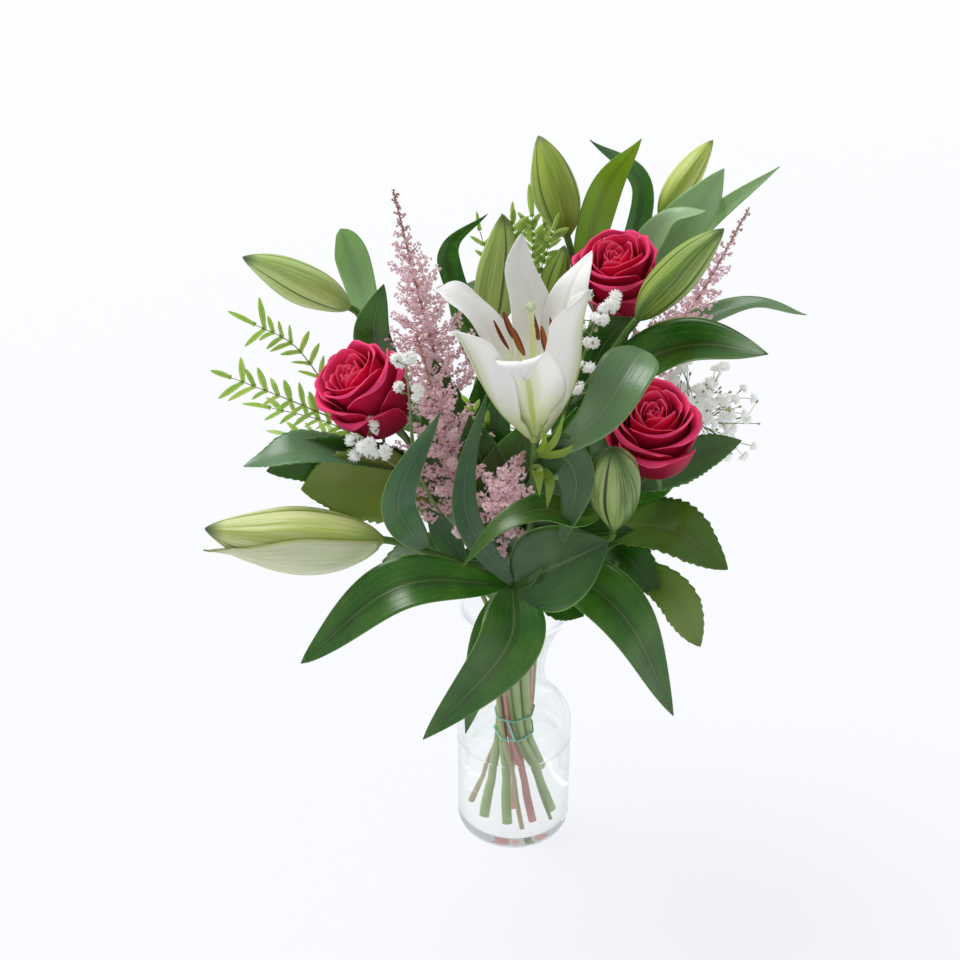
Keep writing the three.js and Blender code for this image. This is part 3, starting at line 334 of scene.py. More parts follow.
# Each leaf: what it grows on and at which share, the points of its midrib, its width, the way its
# upper face looks, and its tone, from 0, deep green, to 1, grey-green, and 2, pale green. Below 0 it
# is yellower. Besides some variety of their own, the tones paint light: grey-green is a painted sheen
# of the bright sky, and pale and yellower green are painted light shining through the leaf from behind.
SKYWARD = None
MIDDLE_LEAF = ((40, -95, 325), (31, -112, 336), (10, -122, 346), (-15, -130, 339), (-38, -134, 312))
YELLOW_LEAF = ((44, -124, 409), (63, -108, 434), (74, -92, 441))
LILY_LEAVES = {
    "lily_front": (
        ("stem", 1, ((-33, -106, 325), (-36, -92, 358), (-22, -78, 408)), 17, (0, -1, 0.3), 0.8),
        ("stem", 1, ((26, -116, 304), (56, -108, 315)), 56, (0, -0.85, 0.5), 0.55),
        ("stem", 1, ((-11, -140, 253), (-65, -142, 184)), 42, (0.1, -0.85, 0.5), 0.0),
        ("stem", 0.97, ((-22, -124, 245), (-37, -114, 168)), 26, (-0.3, -0.9, 0.3), 0.1),
        ("stem", 1, ((5, -118, 292), (13, -121, 303)), 6, (0, -0.8, 0.6), 0.3),
        ("stem", 0.85, ((-79, -122, 290), (-146, -122, 231)), 37, (-0.1, -0.6, 0.8), 0.0, "even"),
        ("stalk", 0.72, ((-79, -110, 347), (-52, -96, 401)), 23, (0.2, -1, 0.3), 0.9),
        ("stalk", 0.4, ((-52, -76, 306), (-62, -76, 324)), 18, (0, -1, 0.2), 0.9),
    ),
    "lily_centre": (
        ("stem", 0.92, YELLOW_LEAF, 36, (-0.35, -0.8, 0.5), 1.3, "late"),
        ("stem", 0.93, ((25, -116, 379), (33, -121, 361), (24, -124, 322)), 30, (-0.4, -1, 0.3), 0.4),
        ("stalk", 0.45, MIDDLE_LEAF, 25, (-0.2, -0.5, 0.9), -0.1),
        ("stem", 0.25, ((-14, -66, 300), (-34, -96, 335)), 30, (0, -0.9, 0.4), 0.0),
        ("stem", 0.45, ((22, -78, 345), (30, -84, 374)), 34, (0, -1, 0.2), 0.0),
        ("stem", 0.97, ((18, -121, 392), (24, -124, 412)), 5, (0, -1, 0.3), -0.9),
        ("stem", 0.97, ((12, -123, 392), (10, -127, 406)), 4, (0, -1, 0.3), -0.9),
        ("stem", 0.97, ((24, -119, 384), (35, -120, 393)), 5, (0, -1, 0.3), -0.9),
        ("stem", 0.9, ((9, -122, 372), (10, -124, 356)), 7, (0, -1, 0.3), -0.6),
        ("stem", 0.9, ((16, -120, 366), (15, -122, 346)), 7, (0, -1, 0.3), -0.6),
        ("stem", 0.42, ((66, -112, 264), (107, -106, 177)), 42, (0.4, -0.8, 0.5), 0.0),
        ("stem", 0.15, ((-8, -56, 320), (4, -62, 382)), 60, (0, -1, 0.1), -0.1),
        ("stem", 0.3, ((26, -60, 340), (36, -66, 392)), 46, (0, -1, 0.1), 0.0),
        ("stem", 0.2, ((-24, -58, 342), (-34, -60, 384)), 36, (0, -1, 0.1), 0.0),
        ("stem", 0.25, ((-16, -50, 345), (-16, -48, 396)), 32, (0, -1, 0.1), 0.0),
        ("stem", 0.08, ((-22, -62, 272), (-46, -76, 284)), 34, (0, -0.9, 0.4), 0.0),
        ("stem", 0.3, ((44, -66, 296), (78, -76, 306)), 34, (0, -0.9, 0.4), 0.0),
    ),
    "lily_left": (
        ("stem", 0.97, ((-118, 66, 447), (-126, 62, 475)), 25, (0.2, -0.8, 0.5), 1.9, "blunt"),
        ("stem", 0.8, ((-100, 4, 416), (-93, 16, 449)), 30, (-0.3, -0.9, 0.2), 0.2),
        ("stem", 0.62, ((-110, 72, 360), (-150, 96, 330)), 36, SKYWARD, 0.1),
        ("stem", 0.4, ((-66, 66, 300), (-92, 118, 262)), 38, SKYWARD, 0.1),
        ("stem", 0.35, ((-48, -14, 350), (-58, -20, 408)), 44, (0, -1, 0.1), 0.0),
        ("stem", 0.3, ((-50, -30, 310), (-70, -38, 350)), 44, (0, -1, 0.1), 0.0),
    ),
    "lily_back": (
        ("stem", 0.97, ((-48, 46, 446), (-48, 42, 470), (-22, 22, 496)), 21, (0.6, -0.7, 0.2), 0.3),
        ("stem", 0.5, ((-24, 4, 345), (-27, -8, 392)), 36, (0, -1, 0.2), 0.0),
        ("stem", 0.85, ((-36, 92, 420), (-50, 138, 402)), 36, SKYWARD, 0.0),
        ("stem", 0.6, ((-8, 96, 350), (0, 146, 320)), 40, SKYWARD, 0.2),
        ("stem", 0.35, ((-30, 84, 286), (-46, 132, 232)), 38, SKYWARD, 0.0),
    ),
    "lily_right": (
        ("top", 0.4, ((61, 85, 494), (84, 62, 538)), 26, (0.2, -0.9, 0.2), -1.0),
        ("far", 0.4, ((92, 118, 490), (51, 92, 531)), 22, (0.5, -0.8, 0.2), 0.9, "slender"),
        ("far", 0.5, ((124, 78, 480), (147, 86, 512)), 34, (0, -0.9, 0.4), 1.7),
        ("stem", 1, ((101, 62, 474), (129, 42, 493)), 24, (0, -0.5, 0.9), 1.8),
        ("stem", 0.95, ((132, 84, 468), (177, 44, 523)), 17, (-0.4, -0.8, 0.4), 2.0),
        ("stem", 0.86, ((156, 50, 420), (197, 6, 430)), 20, (0.1, -0.4, 0.9), 1.3),
        ("side", 0.5, ((108, -42, 425), (154, -78, 433)), 44, (0, -0.55, 0.8), 0.0),
        ("stem", 0.6, ((76, 96, 360), (112, 146, 340)), 40, SKYWARD, 0.0),
        ("stem", 0.35, ((70, 62, 282), (116, 92, 240)), 38, SKYWARD, 0.2),
        ("stem", 0.4, ((60, -16, 335), (66, -30, 385)), 50, (0, -1, 0.2), 0.0),
        ("stem", 0.3, ((80, -20, 310), (112, -40, 330)), 40, (0, -0.9, 0.4), 0.0),
        ("stem", 0.55, ((58, 10, 404), (76, -4, 432)), 38, (0, -0.9, 0.4), 0.3),
    ),
}
BLADE = 0.55
# A blade's thickness at its edge, what its rib adds, how far the rib spreads, and how round it folds.
EDGE_SHARE, RIB_SHARE, RIB_SPREAD, FOLD_ROUND = 0.45, 0.75, 0.16, 0.03
# How many waves an edge has, how far those of the two edges differ, and the half width at which they
# are full.
WAVES, WAVE_SHIFT, WAVE_FULL = 1.6, 0.4, 8
LEAF_ROOT, LEAF_TIP = 1.7, 0.3
# The least and the most that a lily leaf's edges wave, and how far its tone is off its own.
LILY_WAVES, TONE_SPREAD = (0.4, 1.2), 0.08
LEAF_ROWS, LEAF_COLUMNS = 30, 12
SKY_LEAN = 0.004
STALK_STRAIGHT, STALK_INTO_BUD = 6, 1.5
LEAF_GLOW = (0.5, 1.0, 0.2)
chance = np.random.default_rng(7)


def unit(vectors):
    return vectors / np.linalg.norm(vectors, axis=-1, keepdims=True)


def tangents(line):
    return unit(np.gradient(line, axis=0))


def frames(line):
    """Two directions square to a line at each of its points, without twist along it."""
    ways = tangents(line)
    start = np.array([1.0, 0, 0]) if abs(ways[0][2]) > 0.9 else np.array([0, 0, 1.0])
    across = np.cross(start, ways[0])
    made = []
    for way in ways:
        across = unit(across - way * across.dot(way))
        made.append(across)
    across = np.array(made)
    return across, np.cross(ways, across)


def rings(line, across, other, radii, sides):
    """The corners of round rings about the points of a line."""
    turns = np.arange(sides) * 2 * np.pi / sides
    ring = across[:, None] * np.cos(turns)[:, None] + other[:, None] * np.sin(turns)[:, None]
    radii = np.broadcast_to(radii, len(line))
    return (line[:, None] + ring * radii[:, None, None]).reshape(-1, 3)


def cells(rows, columns):
    """The row and the column of each cell of a grid."""
    return (index.ravel() for index in np.meshgrid(range(rows), range(columns), indexing="ij"))


def tube(line, radii, sides):
    """A closed round limb along a line. u runs round it, and v along it from 0 to 1."""
    line = np.asarray(line, float)
    corners = rings(line, *frames(line), radii, sides)
    rows = len(line)
    j, k = cells(rows - 1, sides)
    a, b = j * sides + k, j * sides + (k + 1) % sides
    faces = np.column_stack([a, b, b + sides, a + sides]).tolist()
    u, v = k / sides, j / (rows - 1)
    wide, high = 1 / sides, 1 / (rows - 1)
    uvs = np.stack([u, v, u + wide, v, u + wide, v + high, u, v + high], 1).reshape(-1, 2)
    top = (rows - 1) * sides
    faces += [list(range(sides))[::-1], list(range(top, top + sides))]
    caps = [[0.5, 0.0]] * sides + [[0.5, 1.0]] * sides
    return corners, faces, np.vstack([uvs, caps])


def through(points, shares):
    """Points of the smooth line through the points given, at shares of its way."""
    p = np.asarray(points, float)
    p = np.vstack([2 * p[0] - p[1], p, 2 * p[-1] - p[-2]])
    at = np.clip(np.atleast_1d(shares), 0, 1) * (len(p) - 3)
    i = np.minimum(at.astype(int), len(p) - 4)
    t = (at - i)[:, None]
    a, b, c, d = p[i], p[i + 1], p[i + 2], p[i + 3]
    return b + 0.5 * t * (c - a + t * (2 * a - 5 * b + 4 * c - d + t * (3 * (b - c) + d - a)))


def level_point(ring, turn, level):
    """Where a stem of the bundle crosses a level: its height, spread and twist."""
    height, spread, twist = level
    angle = math.radians(turn + twist - MOUTH[2])
    return (ring * spread * math.cos(angle), ring * spread * math.sin(angle), height)


# Every stem's line and thickness, for the tie that goes round them.
bundle = []


def softened(line, passes=3):
    """The line with its bends eased. Its two ends stay where they are."""
    line = np.array(line, float)
    for _ in range(passes):
        line[1:-1] = (line[:-2] + 2 * line[1:-1] + line[2:]) / 4
    return line


def stem_line(ring, turn, way, thickness):
    """The points of a stem's way above the mouth, and its whole line from its foot."""
    foot, waist, mouth = (level_point(ring, turn, level) for level in (FEET, WAIST, MOUTH))
    above = (mouth, *way)
    low = np.vstack([np.linspace(foot, waist, 9), np.linspace(waist, mouth, 11)[1:-1]])
    line = softened(np.vstack([low, through(above, np.linspace(0, 1, 26))]))
    bundle.append((line, thickness))
    return above, line


def stem_radii(line, radius, end):
    """Even up to the mouth, then thinner towards the end."""
    share = np.clip((line[:, 2] - VASE_HEIGHT) / (line[-1, 2] - VASE_HEIGHT), 0, 1)
    return radius + (end - radius) * share


def shell(grid, thickness, skin, tone=0.0, kind=0):
    """A thin closed blade over a grid of points, rows along it and columns across it."""
    rows, columns = grid.shape[0] - 1, grid.shape[1] - 1
    normal = np.cross(np.gradient(grid, axis=1), np.gradient(grid, axis=0))
    normal /= np.maximum(np.linalg.norm(normal, axis=2, keepdims=True), 1e-9)
    half = np.broadcast_to(thickness, grid.shape[:2])[..., None] / 2
    corners = np.vstack([(grid + normal * half).reshape(-1, 3), (grid - normal * half).reshape(-1, 3)])
    under = (rows + 1) * (columns + 1)
    j, i = cells(rows, columns)
    a = j * (columns + 1) + i
    top = np.column_stack([a, a + 1, a + columns + 2, a + columns + 1])
    edge = [*range(columns), *(row * (columns + 1) + columns for row in range(rows))]
    edge += [rows * (columns + 1) + column for column in range(columns, 0, -1)]
    edge += [row * (columns + 1) for row in range(rows, 0, -1)]
    start, end = np.array(edge), np.roll(edge, -1)
    rim = np.column_stack([start, start + under, end + under, end])
    faces = np.vstack([top, top[:, ::-1] + under, rim])
    place = np.mgrid[0 : rows + 1, 0 : columns + 1].reshape(2, -1).T
    uv = np.column_stack([place[:, 1] / columns, place[:, 0] / rows])
    side = np.repeat([1.0, 0.0], under)
    skin.add(corners, faces.tolist(), np.vstack([uv, uv])[faces], side, tone, kind)


# Each outline: the power that sets where the leaf is widest, and the one that rounds its ends.
OUTLINES = {
    "lily": (0.72, 0.85),
    "slender": (0.6, 0.95),
    "even": (1.0, 0.75),
    "late": (1.5, 0.6),
    "blunt": (1.1, 0.5),
}


def leaf_outline(widest, roundness):
    """How wide a leaf is along it, as a share of its full width."""
    return lambda v: np.sin(np.pi * v**widest) ** roundness


def leaf_grid(points, width, face, outline, fold=0.25, wave=0.0, teeth=None, size=None):
    """Points of a leaf: its midrib runs through the points, its upper face looks along face, and
    fold lifts its edges. wave ripples the edges, and teeth saws them."""
    rows, columns = size or (LEAF_ROWS, LEAF_COLUMNS)
    v = np.linspace(0, 1, rows + 1)
    u = np.linspace(-1, 1, columns + 1)
    rib = through(points, v)
    tip = points[-1]
    face = np.array(face or (tip[0] * SKY_LEAN, tip[1] * SKY_LEAN, 1), float)
    across = unit(np.cross(tangents(rib), unit(face)))
    lift = np.cross(across, tangents(rib))
    half = width / 2 * outline(np.clip(v, 1e-6, 1 - 1e-6))
    if teeth is not None:
        half = half * teeth(v)
    half = np.maximum(half, LEAF_ROOT + (LEAF_TIP - LEAF_ROOT) * v)[:, None]
    arch = (np.sqrt(u**2 + FOLD_ROUND) - math.sqrt(FOLD_ROUND)) * fold
    turns = WAVES * v[:, None] + WAVE_SHIFT * np.sign(u)
    ripple = wave * np.abs(u) ** 1.5 * np.sin(2 * np.pi * turns)
    rise = half * arch + ripple * np.minimum(1, half / WAVE_FULL)
    return rib[:, None] + across[:, None] * (half * u)[..., None] + lift[:, None] * rise[..., None]


def blade_thickness(columns=LEAF_COLUMNS):
    """Thickest at the midrib, and thin at the edges."""
    u = np.linspace(-1, 1, columns + 1)
    return BLADE * (EDGE_SHARE + RIB_SHARE * np.exp(-((u / RIB_SPREAD) ** 2)))


def stalk_line(above, share, way, bud):
    """A side shoot that leaves a stem's line at a share and ends square under a bud."""
    base, tip = (np.array(BUDS[bud][end], float) for end in ("base", "tip"))
    axis = unit(tip - base)
    points = (through(above, share)[0], *way, base - STALK_STRAIGHT * axis)
    line = through(points, np.linspace(0, 1, 16))
    return points, softened(np.vstack([line, base, base + STALK_INTO_BUD * axis]), 1)


def soft(weight, depth, spread):
    """Sockets for light that goes into a petal or a leaf. spread is how far red, green and blue go."""
    return {"Subsurface Weight": weight, "Subsurface Scale": depth, "Subsurface Radius": spread}


def leaf_finish(name, sockets, greens, veins):
    """A leaf's two faces. greens are the deep, grey, pale, yellow, underside and vein greens. The grey is a
    painted sheen, and the pale and the yellow are painted backlight, picked by the leaf's tone.
    """
    made = Finish(name, sockets)
    deep, grey, pale, yellow, below, vein_green = greens
    u, v = made.across_and_along()
    side, tone = made.mark("side"), made.mark("tone")
    across = made.from_middle(u)
    fade = made.step(v, 0.7, 0.95, 1.0, 0.0)
    vein, groove = (made.times(line, fade) for line in veins(made, u, v, across))
    rib = made.step(across, 0.015, 0.05, 1.0, 0.0)
    # Painted highlight: a thin pale line along the edges, where they catch the light.
    edge = made.step(across, 0.95, 0.99)
    blotch = made.noise(made.place(), 34.0, 4.0)
    # Painted light: tone moves the deep green towards a painted grey sheen, a painted pale backlight and a
    # painted yellow backlight.
    base = made.mix(made.step(tone, 0.0, 1.0), deep, grey)
    base = made.mix(made.step(tone, 1.0, 2.0), base, pale)
    base = made.mix(made.step(tone, 0.0, -1.0), base, yellow)
    base = made.mix(made.step(blotch, 0.3, 0.8, 0.0, 0.14), base, vein_green)
    lines = made.most(made.times(vein, 0.06), made.times(rib, 0.2))
    # The veins and the midrib are the leaf's own, but the pale edge line mixed in here is a painted
    # highlight.
    base = made.mix(made.most(lines, made.times(edge, 0.5)), base, vein_green)
    under = made.mix(made.times(vein, 0.3), below, vein_green)
    made.feed("Base Color", made.mix(side, under, base))
    made.feed("Roughness", made.math("MULTIPLY_ADD", side, -0.26, 0.6))
    height = made.math("MULTIPLY_ADD", made.most(groove, rib), -1.0, blotch)
    made.feed("Normal", made.bump(height, 0.00006))
    return made


def parallel_veins(made, u, v, across):
    """Fine veins side by side, as coloured lines and as grooves."""
    vein = made.step(made.beat(u, 8.0), 0.0, 0.1, 1.0, 0.0)
    return vein, vein


lily_leaf = leaf_finish(
    "lily_leaf",
    {"Specular IOR Level": 0.5, **soft(0.25, 0.002, LEAF_GLOW)},
    ("1e4a04", "34563a", "9ab88a", "849e1c", "7a9c5c", "9cbc66"),
    parallel_veins,
)


def stem_finish(name, green, pale, streak):
    """A stem's skin, with lengthwise streaks. It is paler low down, below the tie."""
    made = Finish(name, {"Roughness": 0.45, "Subsurface Weight": 0.1, "Subsurface Scale": 0.002})
    streaks = made.streaks(9.0, 3.0)
    base = made.mix(made.step(made.height(), 0.1, 0.24), pale, green)
    made.feed("Base Color", made.mix(made.step(streaks, 0.45, 0.75, 0.0, 0.6), base, streak))
    made.feed("Normal", made.bump(streaks, 0.0002))
    return made


lily_stem = stem_finish("lily_stem", "4a7426", "9cb573", "7c9c4c")
for name, (turn, way) in LILY_STEMS.items():
    skin = Skin()
    above, line = stem_line(STEM_RING, turn, way, LILY_RADIUS)
    if name == "lily_centre":
        line = np.vstack([line, LILY_BASE, np.add(LILY_BASE, (0, 0, 2))])
    skin.add(*tube(line, stem_radii(line, LILY_RADIUS, LILY_END_RADIUS), 14), kind=1)
    lines = {"stem": above}
    for shoot, (share, shoot_way, bud) in LILY_SHOOTS[name].items():
        lines[shoot], line = stalk_line(above, share, shoot_way, bud)
        skin.add(*tube(line, STALK_RADIUS, 12), kind=1)
    for on, share, points, width, face, tone, *form in LILY_LEAVES[name]:
        root = through(lines[on], share)[0]
        outline = leaf_outline(*OUTLINES[form[0] if form else "lily"])
        grid = leaf_grid((root, *points), width, face, outline, wave=chance.uniform(*LILY_WAVES))
        shell(grid, blade_thickness(), skin, tone=tone + chance.uniform(-TONE_SPREAD, TONE_SPREAD))
    piece = skin.piece(name + "_leaves", [lily_leaf, lily_stem])
    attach(piece, "root")
    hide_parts(name)

# The lily buds are six tepals pressed together. Three broad ones show, each with a raised keel, and
# meet in grooved seams. The lowest bud at the left is pale and starts to open at its tip.
BUD_ROWS, BUD_SIDES = 44, 108
BUD_FULLNESS, BUD_CROWN, BUD_BEND = 0.72, 0.44, 0.035
RIDGE, KEEL, SEAM = 0.09, 0.035, 0.06
# How wide a keel and a seam are, and where the groove beside a keel lies and how wide it is, in
# degrees round the bud.
KEEL_SPREAD, SEAM_SPREAD, GROOVE_AT, GROOVE_SPREAD = 5, 4.5, 13, 4
WRINKLES = ((9, 0.012), (14, 0.01), (22, 0.006))
# How far the loose tepal of the lowest bud lies off it, as (share of the bud, distance).
PARTING = ((0, 0.5), (0.2, 2.2), (0.4, 3.2), (0.55, 3.4), (0.7, 3.4), (0.84, 3.8), (0.93, 7.5), (1, 13))
LOOSE_HUG, LOOSE_THICKNESS = 86, 0.9
LOOSE_ROWS, LOOSE_COLUMNS = 32, 16


def bud_radius(share, crown):
    """How thick a bud is along it. It is thickest at the crown."""
    belly = np.sin(np.pi * share ** (math.log(0.5) / math.log(crown))) ** BUD_FULLNESS
    return np.maximum(belly, 0.12 - 0.09 * share)


def bud_corners(base, tip, radius, spin, crown=BUD_CROWN, bend=BUD_BEND):
    """The skin of a bud from base to tip, a little bent, with its ridges, keels and seams."""
    base, tip = np.array(base, float), np.array(tip, float)
    length = np.linalg.norm(tip - base)
    shares = np.linspace(0, 1, BUD_ROWS + 1)
    across, other = frames(np.array([base, tip]))
    turns = np.arange(BUD_SIDES) * 2 * np.pi / BUD_SIDES
    third = np.degrees(np.angle(np.exp(3j * turns))) / 3
    fade = np.sin(np.pi * shares)[:, None]
    keel = KEEL * np.exp(-((third / KEEL_SPREAD) ** 2))
    form = 1 + fade * (RIDGE * np.cos(3 * turns) + keel)
    form = form - fade * SEAM * np.exp(-(((60 - np.abs(third)) / SEAM_SPREAD) ** 2))
    form = form - fade * 0.6 * KEEL * np.exp(-(((np.abs(third) - GROOVE_AT) / GROOVE_SPREAD) ** 2))
    for folds, depth in WRINKLES:
        sway = spin + 1.5 * np.sin(3 * shares[:, None] + folds)
        form = form + depth * shares[:, None] ** 0.5 * np.cos(folds * turns + sway)
    r = radius * bud_radius(shares, crown)[:, None] * form
    angle = turns + math.radians(spin)
    x, y = r * np.cos(angle), r * np.sin(angle) + bend * length * (fade - 0.5 * fade**3)
    line = base + (tip - base) * shares[:, None]
    made = line[:, None] + across[0] * x[..., None] + other[0] * y[..., None]
    return made.reshape(-1, 3)


def bud_finish(name, greens):
    """Streaks along the tepals, pale ridges, a deeper middle, green seams and a brown tip. The seams are
    darker, partly their own green and partly painted shade in their grooves.
    """
    made = Finish(name, {"Roughness": 0.4, **soft(0.3, 0.004, (0.6, 1.0, 0.3))})
    light, deep, seam, foot, tip = greens
    u, v = made.across_and_along()
    third = made.beat(u, 3.0)
    streaks = made.streaks(26.0, 2.2)
    body = made.math("ADD", streaks, made.step(third, 0.02, 0.36, 0.14, -0.14))
    base = made.mix(made.step(body, 0.3, 0.75), light, deep)
    # Partly painted shade: the seam green is darker than the tepals, as if shaded in the groove.
    base = made.mix(made.step(third, 0.44, 0.49), base, seam)
    base = made.mix(made.step(v, 0.0, 0.3, 0.75, 0.0), base, foot)
    made.feed("Base Color", made.mix(made.step(v, 0.88, 1.0), base, tip))
    made.feed("Normal", made.bump(streaks, 0.0007))
    return made


# Each bud's own greens, as (light, deep, seam, foot, tip), set by how light falls on it. The lighter sets
# are painted light, on buds lit from the upper left and behind. The darker sets, as on the front bud, are
# painted shade.
BUD_GREENS_AS_LIT = {
    "far_left": ("c8dc8c", "a8c664", "6c9440", "84a848", "5a7040"),
    "front_left": ("d6da9e", "b0bf5c", "86a03e", "8aa844", "3f5e1e"),
    "top": ("a4b840", "80992e", "587a22", "6c8c28", "606c2c"),
    "behind_lily": ("b0c468", "86a444", "507426", "648c30", "506a2a"),
    "right": ("a0b658", "55802a", "365a1a", "4f7a24", "4c6628"),
    "front": ("9cb068", "486e28", "24380f", "4c7024", "3c5a20"),
    "back_right": ("ccd870", "aac24c", "7c9a38", "94ae4a", "7c8c38"),
    "small": ("9cb84e", "729a30", "4c6c22", "5c8a28", "506a2a"),
}


def loose_tepal(base, tip, radius):
    """The lowest tepal of the opening bud: the belly of the bud, which parts from it at its tip."""
    axis = tip - base
    down = -unit(np.cross(np.cross(axis, (0, 0.5, 1.0)), axis))
    side = np.cross(down, unit(axis))
    share = np.linspace(0.03, 1.0, LOOSE_ROWS + 1)
    bud = radius * bud_radius(share, BUD_CROWN)
    narrowed = np.cos(np.pi / 2 * np.clip((share - 0.4) / 0.62, 0, 1)) ** 0.8
    turn = math.radians(LOOSE_HUG) * narrowed[:, None] * np.linspace(-1, 1, LOOSE_COLUMNS + 1)
    low = (bud + np.interp(share, *np.transpose(PARTING)))[:, None] * np.cos(turn)
    wide = (np.maximum(bud, 4) + 1.2)[:, None] * np.sin(turn)
    line = base + axis * share[:, None]
    return line[:, None] + down * low[..., None] + side * wide[..., None]


def loose_finish():
    """Cream with fine green streaks and edges, and a green foot and tip."""
    made = Finish("lily_bud_loose", {"Roughness": 0.4, "Subsurface Weight": 0.3, "Subsurface Scale": 0.004})
    u, v = made.across_and_along()
    base = made.mix(made.step(made.streaks(12.0, 2.2), 0.3, 0.8, 0.0, 0.8), "dadcba", "bdc892")
    base = made.mix(made.step(made.from_middle(u), 0.94, 0.99, 0.0, 0.8), base, "94a65a")
    base = made.mix(made.step(v, 0.0, 0.3, 0.5, 0.0), base, "98ad5c")
    made.feed("Base Color", made.mix(made.step(v, 0.85, 1.0), base, "5c7c34"))
    return made


loose_white = loose_finish()
for name, details in BUDS.items():
    corners = bud_corners(**details)
    skin = Skin()
    _, faces, uvs = tube(np.linspace((0, 0, 0), (0, 0, 1), BUD_ROWS + 1), 1, BUD_SIDES)
    skin.add(corners, faces, uvs)
    if name == "front_left":
        base, tip = (np.array(details[end], float) for end in ("base", "tip"))
        shell(loose_tepal(base, tip, details["radius"]), LOOSE_THICKNESS, skin, kind=1)
    finish = bud_finish("lily_bud_" + name, BUD_GREENS_AS_LIT[name])
    piece = skin.piece("bud_" + name + "_tepals", [finish, loose_white])
    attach(piece, "root")
    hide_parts("bud_" + name)

# The open lily has six thick white tepals, three outer and three inner, on a green foot. Each has a
# yellow-green keel outside, a groove inside, and a margin that ruffles towards its pointed tip.
# The green foot, as (height, radius).
CUP, CUP_ROWS = ((0.3, 2.8), (4, 4.4), (9, 5)), 12
TEPAL_STEP, TEPAL_WRAP = 2, 62
TEPAL_THICKNESS = 1.2
TEPAL_FULLNESS, TEPAL_OPEN_RADIUS = 0.66, 90
TEPAL_KEEL, TEPAL_RUFFLE = 1.1, 1.8
# Each tepal: the way it stands, its width, whether it is an outer one, how blunt its tip is, how far
# it opens flat towards its tip, how much its right margin stands higher, and the line of its middle
# as (radius, aside, height).
TEPALS = (
    (264, 44, True, 0.72, 0.5, 7, (
        (3, 0, 4), (10, 0, 18), (21, -1, 34), (31, -2, 51), (39, -5, 67), (46, -6, 70), (50, -3, 62))),
    (206, 58, False, 1.7, 0.1, 6, (
        (5, 0, 4), (16, 0, 15), (26, 0, 26), (36, 0, 43), (43, 0, 59), (48, 0, 70), (55, 0, 81))),
    (154, 34, True, 1.1, 0.6, 0, (
        (3, 0, 4), (8, 0, 18), (16, 0, 40), (25, 0, 58), (35, 0, 73), (46, 0, 84), (57, 0, 90),
        (67, 0, 88))),
    (98, 29, False, 0.95, 0.6, 0, (
        (3, 0, 4), (9, 0, 18), (18, -2, 38), (26, -3, 60), (33, -1, 82), (38, 5, 102), (44, 3, 120))),
    (52, 28, True, 1.2, 0.7, 0, (
        (3, 0, 4), (9, 0, 18), (17, 0, 40), (24, 0, 68), (35, 0, 92), (54, 0, 108))),
    (340, 66, False, 2.2, 0.0, 0, (
        (5, 0, 4), (13, 0, 16), (23, 0, 35), (28, 0, 56), (29, 0, 80), (33, 0, 101))),
)
TEPAL_ROWS, TEPAL_COLUMNS = 40, 20


def tepal_grid(turn, width, outer, blunt, flat, tilt, line):
    """Points of a tepal, rows from its foot to its tip and columns from margin to margin."""
    v = np.linspace(0, 1, TEPAL_ROWS + 1)
    u = np.linspace(-1, 1, TEPAL_COLUMNS + 1)
    step = TEPAL_STEP if outer else -TEPAL_STEP
    rib = through(line, v)
    rib[:, 0] += step * np.minimum(1, 3 * v)
    aside = rib[:, 1:2].copy()
    rib[:, 1] = 0
    way = tangents(rib)
    inward = np.column_stack([-way[:, 2], way[:, 0]])
    form = np.sin(np.pi * np.clip(v, 1e-6, 1 - 1e-6) ** blunt) ** TEPAL_FULLNESS
    foot = 0.75 * rib[:, 0] * np.clip(1.5 - 3 * v, 0, 1)
    half = np.maximum(width / 2 * form, np.maximum(foot, 0.4))
    opening = flat * v**2
    round_radius = rib[:, 0] * (1 - opening) + TEPAL_OPEN_RADIUS * opening
    angle = u * np.minimum(half / round_radius, math.radians(TEPAL_WRAP))[:, None]
    side = aside + round_radius[:, None] * np.sin(angle)
    keel = np.exp(-((u / 0.09) ** 2)) * np.sin(np.pi * v)[:, None]
    ruffle = np.abs(u) ** 3 * np.sin(15 * v[:, None] + 2 * np.sign(u) + turn)
    cup = round_radius[:, None] * (1 - np.cos(angle)) - TEPAL_KEEL * keel
    cup = cup + TEPAL_RUFFLE * ruffle * np.clip(3 * v - 1, 0, 1)[:, None]
    out = rib[:, :1] + inward[:, :1] * cup
    rise = rib[:, 2:] + inward[:, 1:] * cup + tilt * u * (form * v**2)[:, None]
    angle = math.radians(turn)
    x = out * math.cos(angle) - side * math.sin(angle)
    y = out * math.sin(angle) + side * math.cos(angle)
    return np.stack([x, y, rise], 2) + np.array(LILY_BASE)


def petal_finish():
    """White with fine streaks, a green foot, and a keel that is green on the outside."""
    sockets = {"Roughness": 0.42, "Sheen Weight": 0.1, **soft(0.3, 0.006, (1.0, 0.95, 0.7))}
    made = Finish("lily_petal", sockets)
    u, v = made.across_and_along()
    across = made.from_middle(u)
    streaks = made.streaks(30.0, 1.6)
    white = made.mix(made.step(streaks, 0.4, 0.8, 0.0, 0.25), "f6f5ef", "e4e6d2")
    keel = made.most(made.step(across, 0.02, 0.2, 1.0, 0.0), made.step(across, 0.1, 0.55, 0.55, 0.0))
    foot = made.step(v, 0.1, 0.62, 1.0, 0.0)
    outer_green = made.most(made.times(keel, made.step(v, 0.2, 1.0, 1.0, 0.55)), made.times(foot, 0.8))
    inner_green = made.times(made.times(made.most(keel, 0.25), foot), 0.5)
    outside = made.mix(outer_green, white, "a4b452")
    inside = made.mix(inner_green, white, "cfd88a")
    made.feed("Base Color", made.mix(made.mark("side"), outside, inside))
    made.feed("Normal", made.bump(streaks, 0.0003))
    return made


